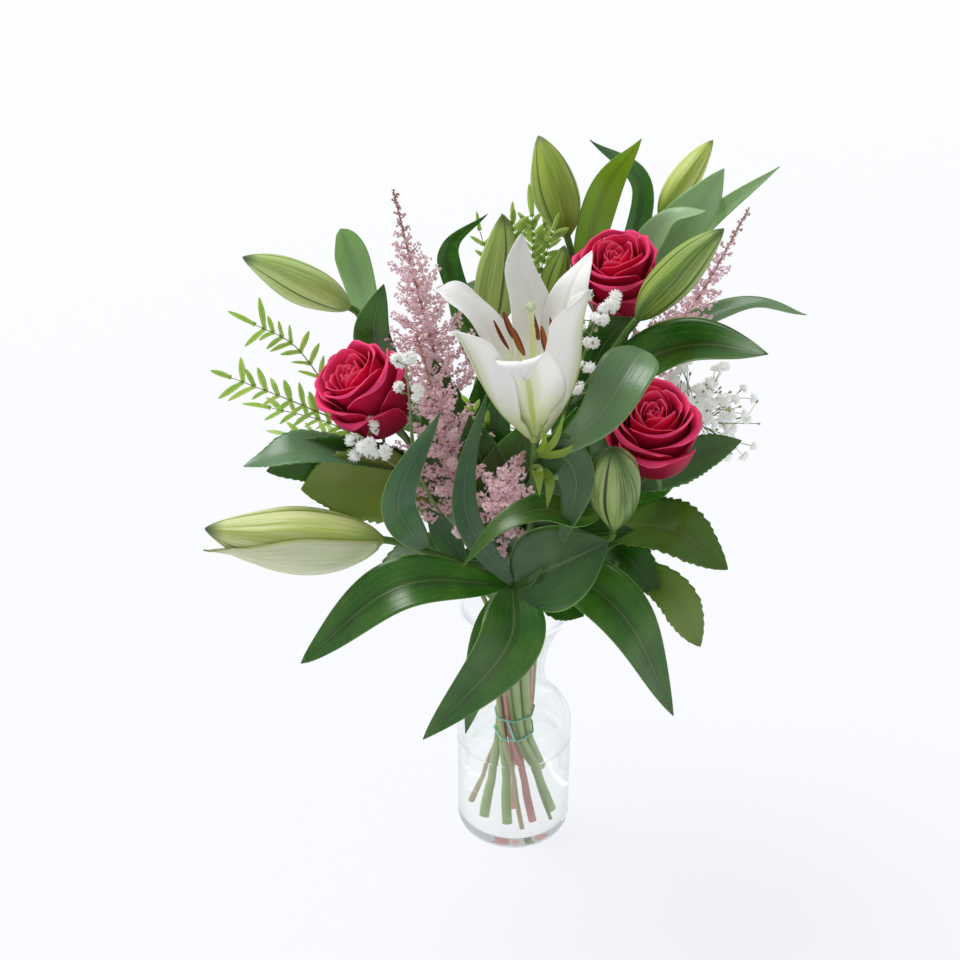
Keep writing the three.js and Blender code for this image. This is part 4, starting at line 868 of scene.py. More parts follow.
petal_white = petal_finish()
skin = Skin()
for tepal in TEPALS:
    grid = tepal_grid(*tepal)
    edge = 0.4 + 0.6 * np.sqrt(1 - np.linspace(-1, 1, TEPAL_COLUMNS + 1) ** 4)
    shell(grid[:, ::-1], TEPAL_THICKNESS * edge, skin)
heights, radii = np.array(CUP).T
cup_line = np.column_stack([np.zeros((CUP_ROWS, 2)), np.linspace(heights[0], heights[-1], CUP_ROWS)])
cup_radii = np.interp(cup_line[:, 2], heights, radii)
corners, faces, uvs = tube(cup_line + np.array(LILY_BASE), cup_radii, 24)
skin.add(corners, faces, uvs * (0, 0) + (0.5, 0.2), side=0.0)
bloom = skin.piece("lily_bloom_tepals", [petal_white])
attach(bloom, "root")
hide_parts("lily_bloom")

# Six stamens stand round the pistil. Their filaments are pale green, and their long anthers are
# rust-brown with pollen, two lobes each. The pistil ends in a stigma of three lobes.
STAMENS, STAMEN_TURN, STAMEN_LEAN = 6, 250, 15
STAMEN_SWAY = np.array([-6.0, 0, 0])
# Where a filament starts and bends, as (radius, height).
STAMEN_FOOT, STAMEN_BEND = (1.4, 11.3), (6, 40)
FILAMENT, FILAMENT_RADII, FILAMENT_ROWS = 70, (1.0, 0.55), 14
ANTHER, ANTHER_RADIUS, ANTHER_ROWS, ANTHER_SIDES = 18, 2.1, 22, 20
ANTHER_SLANT = np.array([3.0, 0, 0])
STYLE, STYLE_RADIUS = ((0, 0, 14), (-2, -1, 50), (-4, -2, 88)), 1.7
STIGMA_REACH, STIGMA_RISE = 1.9, 0.8
STIGMA_RADII = (1.2, 1.6, 2, 2.3, 2.4, 2.3, 2, 1.4, 0.5)


def heading(turn):
    """A level direction at an angle, in radians."""
    return np.array([math.cos(turn), math.sin(turn), 0])


def out_from_lily(turn, radius, height):
    return heading(turn) * radius + LILY_BASE + (0, 0, height)


def anther(lower, upper, wide, skin):
    """Two lobes side by side with a groove between them, tapered to both ends."""
    share = np.linspace(0, 1, ANTHER_ROWS)
    line = np.linspace(lower, upper, ANTHER_ROWS) + np.outer(np.sin(np.pi * share), (0, 0, -1.0))
    ways = tangents(line)
    across = unit(wide - ways * (ways @ wide)[:, None])
    other = np.cross(ways, across)
    turns = np.arange(ANTHER_SIDES) * 2 * np.pi / ANTHER_SIDES
    form = 0.62 + 0.42 * np.abs(np.cos(turns)) ** 0.8
    r = ANTHER_RADIUS * np.sin(np.pi * np.clip(share, 0.03, 0.97)) ** 0.45
    ring = across[:, None] * (form * np.cos(turns))[:, None]
    ring = ring + other[:, None] * (0.75 * form * np.sin(turns))[:, None]
    _, faces, uvs = tube(line, 1, ANTHER_SIDES)
    skin.add((line[:, None] + ring * r[:, None, None]).reshape(-1, 3), faces, uvs, kind=1)


skin = Skin()
for i in range(STAMENS):
    turn = math.radians(STAMEN_TURN + 360 / STAMENS * i)
    start = out_from_lily(turn, *STAMEN_FOOT)
    middle = out_from_lily(turn, *STAMEN_BEND) + STAMEN_SWAY * 0.33
    top = out_from_lily(turn, STAMEN_LEAN, FILAMENT) + STAMEN_SWAY
    line = through([start, middle, top], np.linspace(0, 1, FILAMENT_ROWS))
    skin.add(*tube(line, np.linspace(*FILAMENT_RADII, FILAMENT_ROWS), 8))
    slant = ANTHER_SLANT - heading(turn) * 1.5 - (0, 0, ANTHER / 2)
    centre = top + heading(turn) * 0.5 + (0, 0, 1)
    anther(centre + slant, centre - slant, np.cross((0, 0, 1), heading(turn)), skin)
style = np.array(LILY_BASE) + through(STYLE, np.linspace(0, 1, 20))
skin.add(*tube(style, STYLE_RADIUS, 10))
for i in range(3):
    lobe = heading(math.radians(30 + 120 * i)) * STIGMA_REACH + (0, 0, STIGMA_RISE)
    line = style[-1] + np.array([(0, 0, -2), lobe / 2, lobe, lobe * 1.4])
    skin.add(*tube(through(line, np.linspace(0, 1, 9)), STIGMA_RADII, 10))
filament = Finish("lily_filament", {"Roughness": 0.4, "Subsurface Weight": 0.2})
_, v = filament.across_and_along()
filament.feed("Base Color", filament.mix(filament.step(v, 0.0, 1.0), "a9c25e", "dfe8b4"))
pollen = Finish("lily_anther", {"Roughness": 0.85})
grains = pollen.noise(pollen.place(), 2200.0, 1.0)
u, _ = pollen.across_and_along()
groove = pollen.step(pollen.beat(u, 2.0), 0.1, 0.32, 0.0, 0.6)
pollen.feed("Base Color", pollen.mix(groove, pollen.mix(grains, "4e1a0c", "7c3418"), "b8642a"))
pollen.feed("Normal", pollen.bump(grains, 0.0003))
stamens = skin.piece("lily_stamens_pistil", [filament, pollen])
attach(stamens, "root")
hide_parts("lily_stamens")

# The rose stems are thinner and reddish, with broad leaves that have sawn edges and feathered veins.
# Under each flower a green cup holds five narrow sepals, bent back.
ROSES = {
    "left": {"base": (-88, -34, 370), "axis": (-0.5, -0.34, 0.8), "spin": 0},
    "back": {"base": (75, 34, 426), "axis": (-0.2, -0.42, 0.88), "spin": 70},
    "right": {"base": (88, -60, 352), "axis": (-0.08, -0.46, 0.88), "spin": 140},
}
ROSE_STEMS = {
    "left": (210, ((-36, -20, 285), (-66, -28, 335))),
    "back": (10, ((38, 6, 290), (62, 20, 360))),
    "right": (330, ((42, -26, 265), (72, -44, 310))),
}
ROSE_LEAVES = {
    "left": (
        (0.62, ((-140, -68, 362), (-182, -76, 354)), 38, (0.1, -0.2, 1), 1.1),
        (0.58, ((-128, -54, 349), (-170, -60, 343)), 38, (0, -1, 0.1), -0.1),
        (0.45, ((-110, -64, 336), (-146, -71, 335)), 50, (0, -0.95, 0.3), -0.8),
        (0.3, ((-76, -48, 268), (-112, -72, 240)), 36, SKYWARD, 0.0),
    ),
    "back": (
        (0.5, ((92, 46, 330), (132, 66, 330)), 38, SKYWARD, 0.0),
        (0.3, ((82, 14, 256), (122, 22, 238)), 38, SKYWARD, 0.1),
    ),
    "right": (
        (0.8, ((118, -52, 350), (144, -70, 370)), 28, (0.1, -0.8, 0.6), 1.2),
        (0.5, ((98, -96, 318), (134, -112, 297)), 44, (0, -0.6, 0.8), -0.3),
        (0.35, ((98, -84, 268), (124, -94, 226)), 28, (0.2, -0.9, 0.4), -0.5, 1.5),
        (0.4, ((72, -70, 284), (95, -88, 261)), 34, (0, -0.9, 0.4), 0.0),
        (0.2, ((28, -70, 250), (44, -84, 244)), 34, (0, -0.7, 0.7), 0.0),
    ),
}
ROSE_RADIUS, ROSE_END_RADIUS = 2.8, 2.4
# The green cup, as (height, radius), and how deep in it the stem ends.
CALYX_DEPTH = 7
CALYX = ((-9, 2.6), (-6.5, 4.2), (-4, 5.5), (-1.5, 5.3), (0, 4.6), (1.5, 3.0))
SEPALS, SEPAL_WIDTH = 5, 5
# A sepal's line, as (distance from the axis, height).
SEPAL_LINE = ((4, -2.5), (11, -4.5), (17, -15))
ROSE_TEETH, TOOTH_DEPTH = 17, 0.1
ROSE_OUTLINE, ROSE_FOLD, ROSE_WAVE = 0.8, 0.2, 0.9


def rose_teeth(v):
    """A saw edge: each tooth rises slowly and falls back at once towards the tip."""
    return 1 + TOOTH_DEPTH * (np.mod(v * ROSE_TEETH, 1) - 0.5)


def posed(points, base, axis, spin):
    """Points of a flower that stands on base and looks along axis, turned about it by spin."""
    axis = unit(np.array(axis, float))
    turn = np.cross((0, 0, 1), axis)
    angle = math.atan2(np.linalg.norm(turn), axis[2])
    turn = unit(turn)
    x, y, z = np.moveaxis(points, -1, 0)
    cos, sin = math.cos(math.radians(spin)), math.sin(math.radians(spin))
    spun = np.stack([x * cos - y * sin, x * sin + y * cos, z], -1)
    along = (spun @ turn)[..., None] * turn
    made = along + (spun - along) * math.cos(angle) + np.cross(turn, spun) * math.sin(angle)
    return made + np.array(base, float)


def feathered_veins(made, u, v, across):
    """Side veins that leave the midrib at a slant, with a fine net of grooves between them."""
    slant = made.math("MULTIPLY_ADD", across, -1.6, made.times(v, 8.0))
    vein = made.step(made.math("PINGPONG", slant, 0.5), 0.0, 0.09, 1.0, 0.0)
    net = made.node("TexVoronoi", {"Vector": made.place(), "Scale": 420.0}, feature="DISTANCE_TO_EDGE")
    return vein, made.most(vein, made.step(net.outputs[0], 0.0, 0.12, 0.4, 0.0))


rose_leaf = leaf_finish(
    "rose_leaf",
    {"Specular IOR Level": 0.45, **soft(0.12, 0.002, LEAF_GLOW)},
    ("24500c", "4c6e50", "94b084", "8c9a44", "7a9a5c", "7fa44c"),
    feathered_veins,
)
rose_stem = stem_finish("rose_stem", "5a7030", "cf8f86", "9a5a44")
for name, rose in ROSES.items():
    turn, way = ROSE_STEMS[name]
    axis = unit(np.array(rose["axis"]))
    top = np.array(rose["base"]) - CALYX_DEPTH * axis
    above, line = stem_line(STEM_RING, turn, (*way, top), ROSE_RADIUS)
    skin = Skin()
    skin.add(*tube(line, stem_radii(line, ROSE_RADIUS, ROSE_END_RADIUS), 12), kind=1)
    for share, points, width, face, tone, *late in ROSE_LEAVES[name]:
        root = through(above, share)[0]
        outline = leaf_outline(late[0] if late else ROSE_OUTLINE, ROSE_OUTLINE)
        edge = (ROSE_FOLD, ROSE_WAVE, rose_teeth, (ROSE_TEETH * 4, LEAF_COLUMNS))
        grid = leaf_grid((root, *points), width, face, outline, *edge)
        shell(grid, blade_thickness(), skin, tone=tone)
    cup = posed(np.array([(0, 0, height) for height, _ in CALYX], float), **rose)
    skin.add(*tube(cup, [radius for _, radius in CALYX], 16))
    for i in range(SEPALS):
        out = heading(2 * math.pi * i / SEPALS)
        v = np.linspace(0, 1, 13)
        centre = through([out * far + (0, 0, height) for far, height in SEPAL_LINE], v)
        half = np.maximum(SEPAL_WIDTH / 2 * np.sin(np.pi * v**0.7) ** 0.8, 0.4 - 0.3 * v + 1.4 * (v < 0.1))
        side = np.cross(out, (0, 0, 1.0)) * half[:, None]
        grid = centre[:, None] + side[:, None] * np.linspace(1, -1, 7)[:, None]
        shell(posed(grid, **rose), BLADE, skin)
    piece = skin.piece("rose_" + name + "_leaves", [rose_leaf, rose_stem])
    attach(piece, "root")
    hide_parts("rose_" + name)

# A rose head is a spiral of velvety crimson petals round a rolled heart. The inner ones stand up and
# overlap, and the outer ones roll their lips outwards and hang a little.
# Each whorl: petals, half span, overlap in radius, and the petal's line as (radius, height).
WHORLS = (
    (2, 165, 0.8, ((1, 6), (1.8, 20), (2, 38), (1.6, 50))),
    (2, 150, 0.9, ((2, 6), (3.2, 18), (3.8, 36), (3.4, 51.5))),
    (3, 106, 0.9, ((3, 5), (5, 16), (5.8, 36), (5.4, 53))),
    (3, 102, 1.1, ((3.5, 5), (7.6, 15), (8.6, 35), (8, 54))),
    (3, 96, 1.4, ((4, 4), (10.8, 14), (12.4, 34), (11.8, 55.5))),
    (3, 92, 1.7, ((4.5, 4), (14, 13), (16.2, 33), (16, 50), (17, 55.5))),
    (3, 88, 2.0, ((5, 3), (17, 10), (19.8, 30), (20, 46), (21.6, 53), (23.4, 52.5))),
    (3, 82, 2.4, ((6.5, 2), (19.6, 8), (23.2, 24), (23.6, 39), (26.6, 47.5), (29.4, 45))),
    (3, 74, 2.8, ((7, 1), (20.6, 5), (24.8, 18), (25.6, 28), (28.6, 34), (31.4, 29.5))),
)
PETAL_ROWS, PETAL_COLUMNS, PETAL_THICKNESS = 20, 18, 0.45
# The plain cup inside the foot of the petals, as (height, radius).
HEART_CUP = ((0.2, 7), (4, 13), (9, 15), (14, 6))


def rose_petal_grid(order, index, rose):
    """Points of one petal of a whorl, rows from its foot to its lip."""
    petals, span, tuck, line = WHORLS[order]
    v = np.linspace(0, 1, PETAL_ROWS + 1)[:, None]
    u = np.linspace(-1, 1, PETAL_COLUMNS + 1)
    own = np.random.default_rng(order * 31 + index * 7 + rose)
    middle = 2 * math.pi * (index + 0.37 * order) / petals + own.uniform(-0.15, 0.15)
    shape = np.sin(np.pi * (0.13 + 0.72 * v)) ** 0.5
    angle = middle + math.radians(span) * own.uniform(0.94, 1.05) * u * shape
    loose = order / (len(WHORLS) - 1)
    outline = 1 - (0.1 + 0.2 * loose) * np.abs(u) ** (2.6 - 1.2 * loose)
    reach = v * outline
    points = through([(r, 0, z) for r, z in line], reach.ravel()).reshape(*reach.shape, 3)
    r, z = points[..., 0], points[..., 2]
    ruffle = v**3 * loose * np.sin(4.5 * u + own.uniform(0, 6))
    crimp = v**6 * loose * np.sin(own.uniform(9, 14) * u + own.uniform(0, 6))
    r = r + tuck * u + 0.8 * ruffle + 0.4 * crimp + 3 * loose**2 * v**4 * u**2
    z = z + 1.2 * ruffle * own.uniform(0.6, 1.4) + 0.5 * crimp + own.uniform(-4, 2) * loose**2 * v
    z = z + own.uniform(-3.5, 3.5) * loose * u * v**2
    return np.stack([r * np.cos(angle), r * np.sin(angle), z], -1)


def velvet_finish():
    """Crimson with fine veins. It is darker low down, a painted shade deep in the flower, and brighter
    towards the lip. The outer faces are darker, most of all on the outer whorls, partly their own
    colour and partly painted shade. The pale rim is a painted highlight.
    """
    made = Finish(
        "rose_petal",
        {
            "Roughness": 0.6,
            "Specular IOR Level": 0.2,
            "Sheen Weight": 0.02,
            "Sheen Roughness": 0.4,
            "Sheen Tint": colour("ff7f9f"),
            **soft(0.15, 0.003, (1.0, 0.15, 0.2)),
        },
    )
    u, v = made.across_and_along()
    veins = made.streaks(22.0, 2.4)
    inside = made.mark("side")
    # Painted shade: low is the dark foot of the petals, deep in the flower. Outer faces are darker than
    # inner ones, partly their own colour and partly painted shade.
    low = made.mix(inside, "86042a", "c4064a")
    high = made.mix(inside, made.mix(made.mark("tone"), "f22664", "da0c44"), "ff427c")
    base = made.mix(made.step(v, 0.3, 0.95), low, high)
    base = made.mix(made.step(veins, 0.4, 0.8, 0.0, 0.3), base, "c40a38")
    # Painted highlight: a pale rim along the lip and the margins.
    margin = made.step(made.from_middle(u), 0.96, 0.99, 0.0, 0.8)
    rim = made.most(made.step(v, 0.955, 0.985), margin)
    made.feed("Base Color", made.mix(made.times(rim, 0.3), base, "ff86a2"))
    made.feed("Normal", made.bump(veins, 0.0004))
    return made


velvet = velvet_finish()
for number, (name, rose) in enumerate(ROSES.items()):
    skin = Skin()
    for order, (petals, *_) in enumerate(WHORLS):
        for index in range(petals):
            grid = posed(rose_petal_grid(order, index, number), **rose)
            shell(grid[:, ::-1], PETAL_THICKNESS, skin, tone=order / (len(WHORLS) - 1))
    cup = posed(np.array([(0, 0, height) for height, _ in HEART_CUP], float), **rose)
    corners, faces, uvs = tube(cup, [radius for _, radius in HEART_CUP], 24)
    skin.add(corners, faces, uvs * (0, 0) + (0.5, 0.3))
    piece = skin.piece("rose_" + name + "_petals", [velvet])
    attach(piece, "root")
    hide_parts("rose_" + name + "_bloom")

# An astilbe plume has a thin reddish axis with side branches in a spiral, each set with short twigs
# that carry hundreds of tiny pale pink florets. The tip is still in bud, brownish.
ASTILBE_STEMS = {
    "left": (180, 1.6, ((-18, -6, 270), (-36, -10, 330), (-48, -12, 368))),
    "front": (240, 1.6, ((-12, -22, 240), (-24, -38, 275), (-36, -44, 300))),
    "right": (350, 1.6, ((20, -6, 260), (52, -4, 330), (86, 4, 385))),
    "centre": (300, 1.4, ((0, -14, 238), (-5, -38, 268), (-11.7, -63, 299))),
}
# Each plume: the points of its axis, the reach of its lowest branches and how many branches.
PLUMES = {
    "left": (((-48.3, -12.2, 369), (-66, 0, 436), (-85, 20, 513)), 54, 54),
    "front": (((-36.3, -44.3, 301), (-50, -58, 370), (-68, -58, 440)), 64, 60),
    "right": (((86.3, 4.2, 386), (126, 34, 432), (159, 45, 494)), 36, 36),
    "centre": (((-11.8, -63.5, 299.6), (-12, -100, 345), (0, -127, 388)), 40, 40),
}
# Between twigs along a branch, and between florets along a twig.
TWIG_SPACING, FLORET_SPACING = 1.7, 1.7
TWIGS_ROUND = 2
# How many buds crowd the tip, and from which share of the axis on.
TIP_BUDS, TIP_FROM = 90, 0.55
# Where on the axis the lowest branch stands and how much of the axis is branched.
LOWEST_BRANCH, BRANCHED = 0.03, 0.95
# A branch's bend and its end, as (outwards, upwards) shares of its length, and its least length.
BRANCH_BEND, BRANCH_END, LEAST_BRANCH = (0.5, 0.12), (0.88, 0.47), 3
AXIS_RADII, BRANCH_RADII = (1.4, 0.5), (0.45, 0.2)
ASTILBE_SEED, FLORET_SCALE = 50, 0.8
GOLDEN_ANGLE = math.pi * (3 - math.sqrt(5))
# A floret's petal has its foot, side, tip, other side and keel as corners 0 to 4.
PETAL_FACES = ((0, 3, 1), (3, 2, 1), (0, 1, 4), (1, 2, 4), (2, 3, 4), (3, 0, 4))


def scatter_tree():
    """Geometry nodes that set a floret on each point, along its own way and at its own size."""
    tree = bpy.data.node_groups.new("florets_on_points", "GeometryNodeTree")

    def node(kind, inputs, **settings):
        return add_node(tree, kind, inputs, settings).outputs

    sockets = (
        ("Points", "Geometry"),
        ("Floret", "Object"),
        ("Finish", "Material"),
        ("Scale", "Float"),
        ("Seed", "Int"),
    )
    for name, kind in sockets:
        tree.interface.new_socket(name, in_out="INPUT", socket_type="NodeSocket" + kind)
    tree.interface.new_socket("Florets", in_out="OUTPUT", socket_type="NodeSocketGeometry")
    given = node("NodeGroupInput", {})
    way = node("GeometryNodeInputNamedAttribute", {"Name": "way"}, data_type="FLOAT_VECTOR")
    size = node("GeometryNodeInputNamedAttribute", {"Name": "size"}, data_type="FLOAT")
    align = node("FunctionNodeAlignRotationToVector", {"Vector": way["Attribute"]}, axis="Z")
    spin = node("FunctionNodeRandomValue", {3: 2 * math.pi, "Seed": given["Seed"]})
    about = node("FunctionNodeAxisAngleToRotation", {"Angle": spin[1]})
    turns = {"Rotation": align[0], "Rotate By": about[0]}
    turn = node("FunctionNodeRotateRotation", turns, rotation_space="LOCAL")
    scale = node("ShaderNodeMath", {0: size["Attribute"], 1: given["Scale"]}, operation="MULTIPLY")
    floret = node("GeometryNodeObjectInfo", {"Object": given["Floret"], "As Instance": True})
    points = node("GeometryNodeMeshToPoints", {"Mesh": given["Points"]})
    pose = {"Instance": floret["Geometry"], "Rotation": turn[0], "Scale": scale[0]}
    placed = node("GeometryNodeInstanceOnPoints", {"Points": points[0], **pose})
    real = node("GeometryNodeRealizeInstances", {0: placed[0]})
    painted = node("GeometryNodeSetMaterial", {"Geometry": real[0], "Material": given["Finish"]})
    node("NodeGroupOutput", {0: painted[0]})
    return tree


florets_on_points = scatter_tree()


def scattered(name, spots, sample, finish, scale, seed):
    """A plain mesh of samples on spots, each a place, a way, a size and a tone."""
    places, ways, sizes, tones = (np.array(column, np.float32) for column in zip(*spots))
    mesh = bpy.data.meshes.new(name)
    mesh.from_pydata(places * METRES, [], [])
    mesh.attributes.new("way", "FLOAT_VECTOR", "POINT").data.foreach_set("vector", ways.ravel())
    mesh.attributes.new("size", "FLOAT", "POINT").data.foreach_set("value", sizes)
    mesh.attributes.new("tone", "FLOAT", "POINT").data.foreach_set("value", tones)
    made = bpy.data.objects.new(name, mesh)
    bpy.context.collection.objects.link(made)
    modifier = made.modifiers.new("florets", "NODES")
    modifier.node_group = florets_on_points
    sockets = {item.name: item.identifier for item in florets_on_points.interface.items_tree}
    modifier[sockets["Floret"]] = sample
    modifier[sockets["Finish"]] = finish.material
    modifier[sockets["Scale"]] = scale
    modifier[sockets["Seed"]] = seed
    made.update_tag()
    evaluated = made.evaluated_get(bpy.context.evaluated_depsgraph_get())
    plain = bpy.data.meshes.new_from_object(evaluated)
    made.modifiers.remove(modifier)
    made.data = plain
    bpy.data.meshes.remove(mesh)
    return made


def floret_sample(name, whorls, heart):
    """One floret at the origin, in metres, to be repeated: narrow petals in whorls round a small
    heart, which is marked as its middle. Each whorl: petals, reach, rise and width."""
    corners, faces = [], []
    for order, (petals, reach, rise, width) in enumerate(whorls):
        for i in range(petals):
            out = heading(2 * math.pi * (i + 0.5 * order) / petals)
            side = np.cross((0, 0, 1), out) * width / 2
            tip = out * reach + (0, 0, rise)
            middle = out * reach * 0.6 + (0, 0, rise * 0.45)
            faces += [[len(corners) + corner for corner in face] for face in PETAL_FACES]
            corners += [out * 0.05, middle + side, tip, middle - side, middle - (0, 0, width * 0.3)]
    first = len(corners)
    radius, height = heart
    ring = [(radius, 0, 0), (0, radius, 0), (-radius, 0, 0), (0, -radius, 0)]
    corners += [*ring, (0, 0, height), (0, 0, -height * 0.6)]
    for i in range(4):
        after = (i + 1) % 4
        faces += [(first + i, first + after, first + 4), (first + after, first + i, first + 5)]
    mesh = bpy.data.meshes.new(name)
    mesh.from_pydata(np.array(corners) * METRES, [], faces)
    marks = np.zeros(len(corners), np.float32)
    marks[first:] = 1
    mesh.attributes.new("middle", "FLOAT", "POINT").data.foreach_set("value", marks)
    return bpy.data.objects.new(name, mesh)


def way_at(points, share):
    """The direction of the smooth line through the points, at a share of its way."""
    return unit(through(points, min(share + 0.01, 1))[0] - through(points, share - 0.01)[0])


def swung(direction, axis, angle):
    """A direction that is square to an axis, turned about it."""
    return direction * math.cos(angle) + np.cross(axis, direction) * math.sin(angle)


def ripeness(share):
    """1 for the brown buds at a plume's tip, and 0 or less for open florets."""
    return min(1.0, 3.2 * share - 2.2)


def twig_spots(branch, length, ripe, own):
    """Spots for the florets on the twigs of a side branch, given by its root, its bend and its end."""
    root, bend, end = branch
    course = (end - root) / length
    outward = unit(np.cross(course, (0.3, 0.2, 1)))
    twigs = max(2, int(length / TWIG_SPACING))
    spots = []
    for k in range(twigs):
        at = (k + 0.6) / twigs
        foot = through(branch, at)[0]
        reach = (1.8 + 3.0 * (1 - at)) * min(1, length / 12)
        count = max(1, round(reach / FLORET_SPACING))
        for ray in range(TWIGS_ROUND):
            spin = k * GOLDEN_ANGLE + 2 * math.pi * ray / TWIGS_ROUND + own.uniform(0, 0.6)
            out = swung(outward, course, spin)
            twig = out * 0.8 + course * 0.6
            for n in range(count):
                place = foot + twig * reach * (n + 1) / count + own.normal(0, 0.35, 3)
                toward = out + course * 0.5 + own.normal(0, 0.4, 3)
                size = own.uniform(0.75, 1.15) * (1 - 0.35 * ripe)
                spots.append((place, toward, size, ripe))
    return [*spots, (end, end - bend, 0.8 * (1 - 0.3 * ripe), ripe)]


astilbe_floret = floret_sample("astilbe_floret", ((5, 1.7, 1.7, 1.4),), (0.9, 1.5))
# Painted glow: the florets glow faintly in their own colour, which brightens the plume's shaded depths.
# They are no lamp.
pink = Finish(
    "astilbe_pink_painted_glow",
    {"Roughness": 0.75, "Subsurface Weight": 0.3, "Sheen Weight": 0.1, "Emission Strength": 0.05},
)
blush = pink.mix(pink.noise(pink.place(), 160.0), "faecee", "e39fb2")
blush = pink.mix(pink.times(pink.mark("middle"), 0.7), blush, "f2dcdc")
blush = pink.mix(pink.mark("tone"), blush, "ab7468")
pink.feed("Base Color", blush)
pink.feed("Emission Color", blush)
blush_stem = Finish("astilbe_twig", {"Roughness": 0.6})
upper = blush_stem.mix(blush_stem.noise(blush_stem.place(), 90.0), "b0646a", "c09a80")
blush = blush_stem.mix(blush_stem.step(blush_stem.height(), 0.1, 0.3), "d79a90", upper)
blush_stem.feed("Base Color", blush)
for number, (name, (way, reach, branches)) in enumerate(PLUMES.items()):
    own = np.random.default_rng(ASTILBE_SEED + number)
    turn, radius, stem_way = ASTILBE_STEMS[name]
    skin = Skin()
    _, line = stem_line(CORE_RING, turn, stem_way, radius)
    skin.add(*tube(line, radius, 10))
    axis = through(way, np.linspace(0, 1, 30))
    skin.add(*tube(axis, np.linspace(*AXIS_RADII, 30), 8))
    spots = []
    for i in range(branches):
        share = (i + 0.5) / branches
        at = LOWEST_BRANCH + BRANCHED * share
        root, along = through(way, at)[0], way_at(way, at)
        side = swung(unit(np.cross((1.0, 0, 0), along)), along, i * GOLDEN_ANGLE)
        length = max(reach * (1 - share) ** 1.1 * own.uniform(0.7, 1.05), LEAST_BRANCH)
        bend, end = (
            root + (side * out + along * up) * length for out, up in (BRANCH_BEND, BRANCH_END)
        )
        branch = (root, bend, end)
        skin.add(*tube(through(branch, np.linspace(0, 1, 9)), np.linspace(*BRANCH_RADII, 9), 4))
        spots += twig_spots(branch, length, max(0.0, ripeness(share)), own)
    for share in np.linspace(TIP_FROM, 1, TIP_BUDS):
        out = unit(own.normal(0, 1, 3))
        place = through(way, share)[0] + out * (0.8 + 2.4 * (1 - share))
        spots.append((place, out, own.uniform(0.5, 0.8), max(0.3, ripeness(share))))
    twigs_piece = skin.piece("astilbe_" + name + "_twigs", [blush_stem])
    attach(twigs_piece, "root")
    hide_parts("astilbe_" + name)
    florets = scattered("astilbe_" + name + "_florets", spots, astilbe_floret, pink, FLORET_SCALE, number)
    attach(florets, "root")
    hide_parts("astilbe_" + name + "_plume")

# Gypsophila sprays fork again and again into hair-thin green branches. They end in small double
# white flowers or, on every third branch, in a round green bud.
GYPSOPHILA_STEMS = {
    "right": (350, ((46, -8, 270), (78, -14, 310), (102, -12, 335))),
    "centre": (30, ((24, 2, 280), (30, -14, 360), (40, -30, 405))),
    "left": (230, ((-26, -44, 262), (-55, -76, 322), (-71, -82, 362))),
}
# Each fork: where it leaves the stem, its end, its branches, their reach and the way they face.
SPRAYS = {
    "right": (
        (1, (128, 0, 352), 19, 46, (0.6, -0.1, 0.8)),
        (0.9, (118, -8, 372), 8, 30, (0.5, 0.1, 1)),
        (0.8, (112, -18, 366), 6, 30, (0.5, 0, 1)),
    ),
    "centre": (
        (1, (45, -34, 430), 4, 26, (0, -0.4, 1)),
        (0.92, (47, -52, 446), 5, 24, (0.1, -0.3, 1)),
        (0.8, (48, -48, 396), 5, 24, (0.3, -0.8, 0.4)),
    ),
    "left": (
        (1, (-72, -76, 404), 2, 10, (0, -0.4, 1)),
        (0.95, (-74, -74, 424), 2, 8, (-0.3, -0.4, 1)),
        (0.8, (-98, -74, 366), 6, 16, (-0.4, -0.5, 0.5)),
    ),
}
GYPSOPHILA_SEED = 80
# How many twigs a branch has, where the first leaves it, and the share from each to the next.
SIDE_TWIGS, FIRST_TWIG, TWIG_STEP = 3, 0.4, 0.17
# Every second branch is shorter, by this share, so that the spray is filled inside.
INNER_REACH = 0.66
SPRAY_RADIUS, SPRAY_END_RADIUS = 1.4, 1.1
FORK_RADII, HAIR_RADII, HAIR_END_RADIUS = (0.9, 0.6), (0.42, 0.28), 0.24

bloom_whorls = ((8, 3.1, 0.2, 2.0), (8, 2.8, 1.4, 1.9), (6, 2.1, 2.4, 1.7), (4, 1.2, 3.0, 1.3))
white_bloom = floret_sample("gypsophila_bloom", bloom_whorls, (0.9, 1.6))
green_knob = floret_sample("gypsophila_bud", ((5, 0.75, 1.5, 0.7),), (0.75, 1.1))
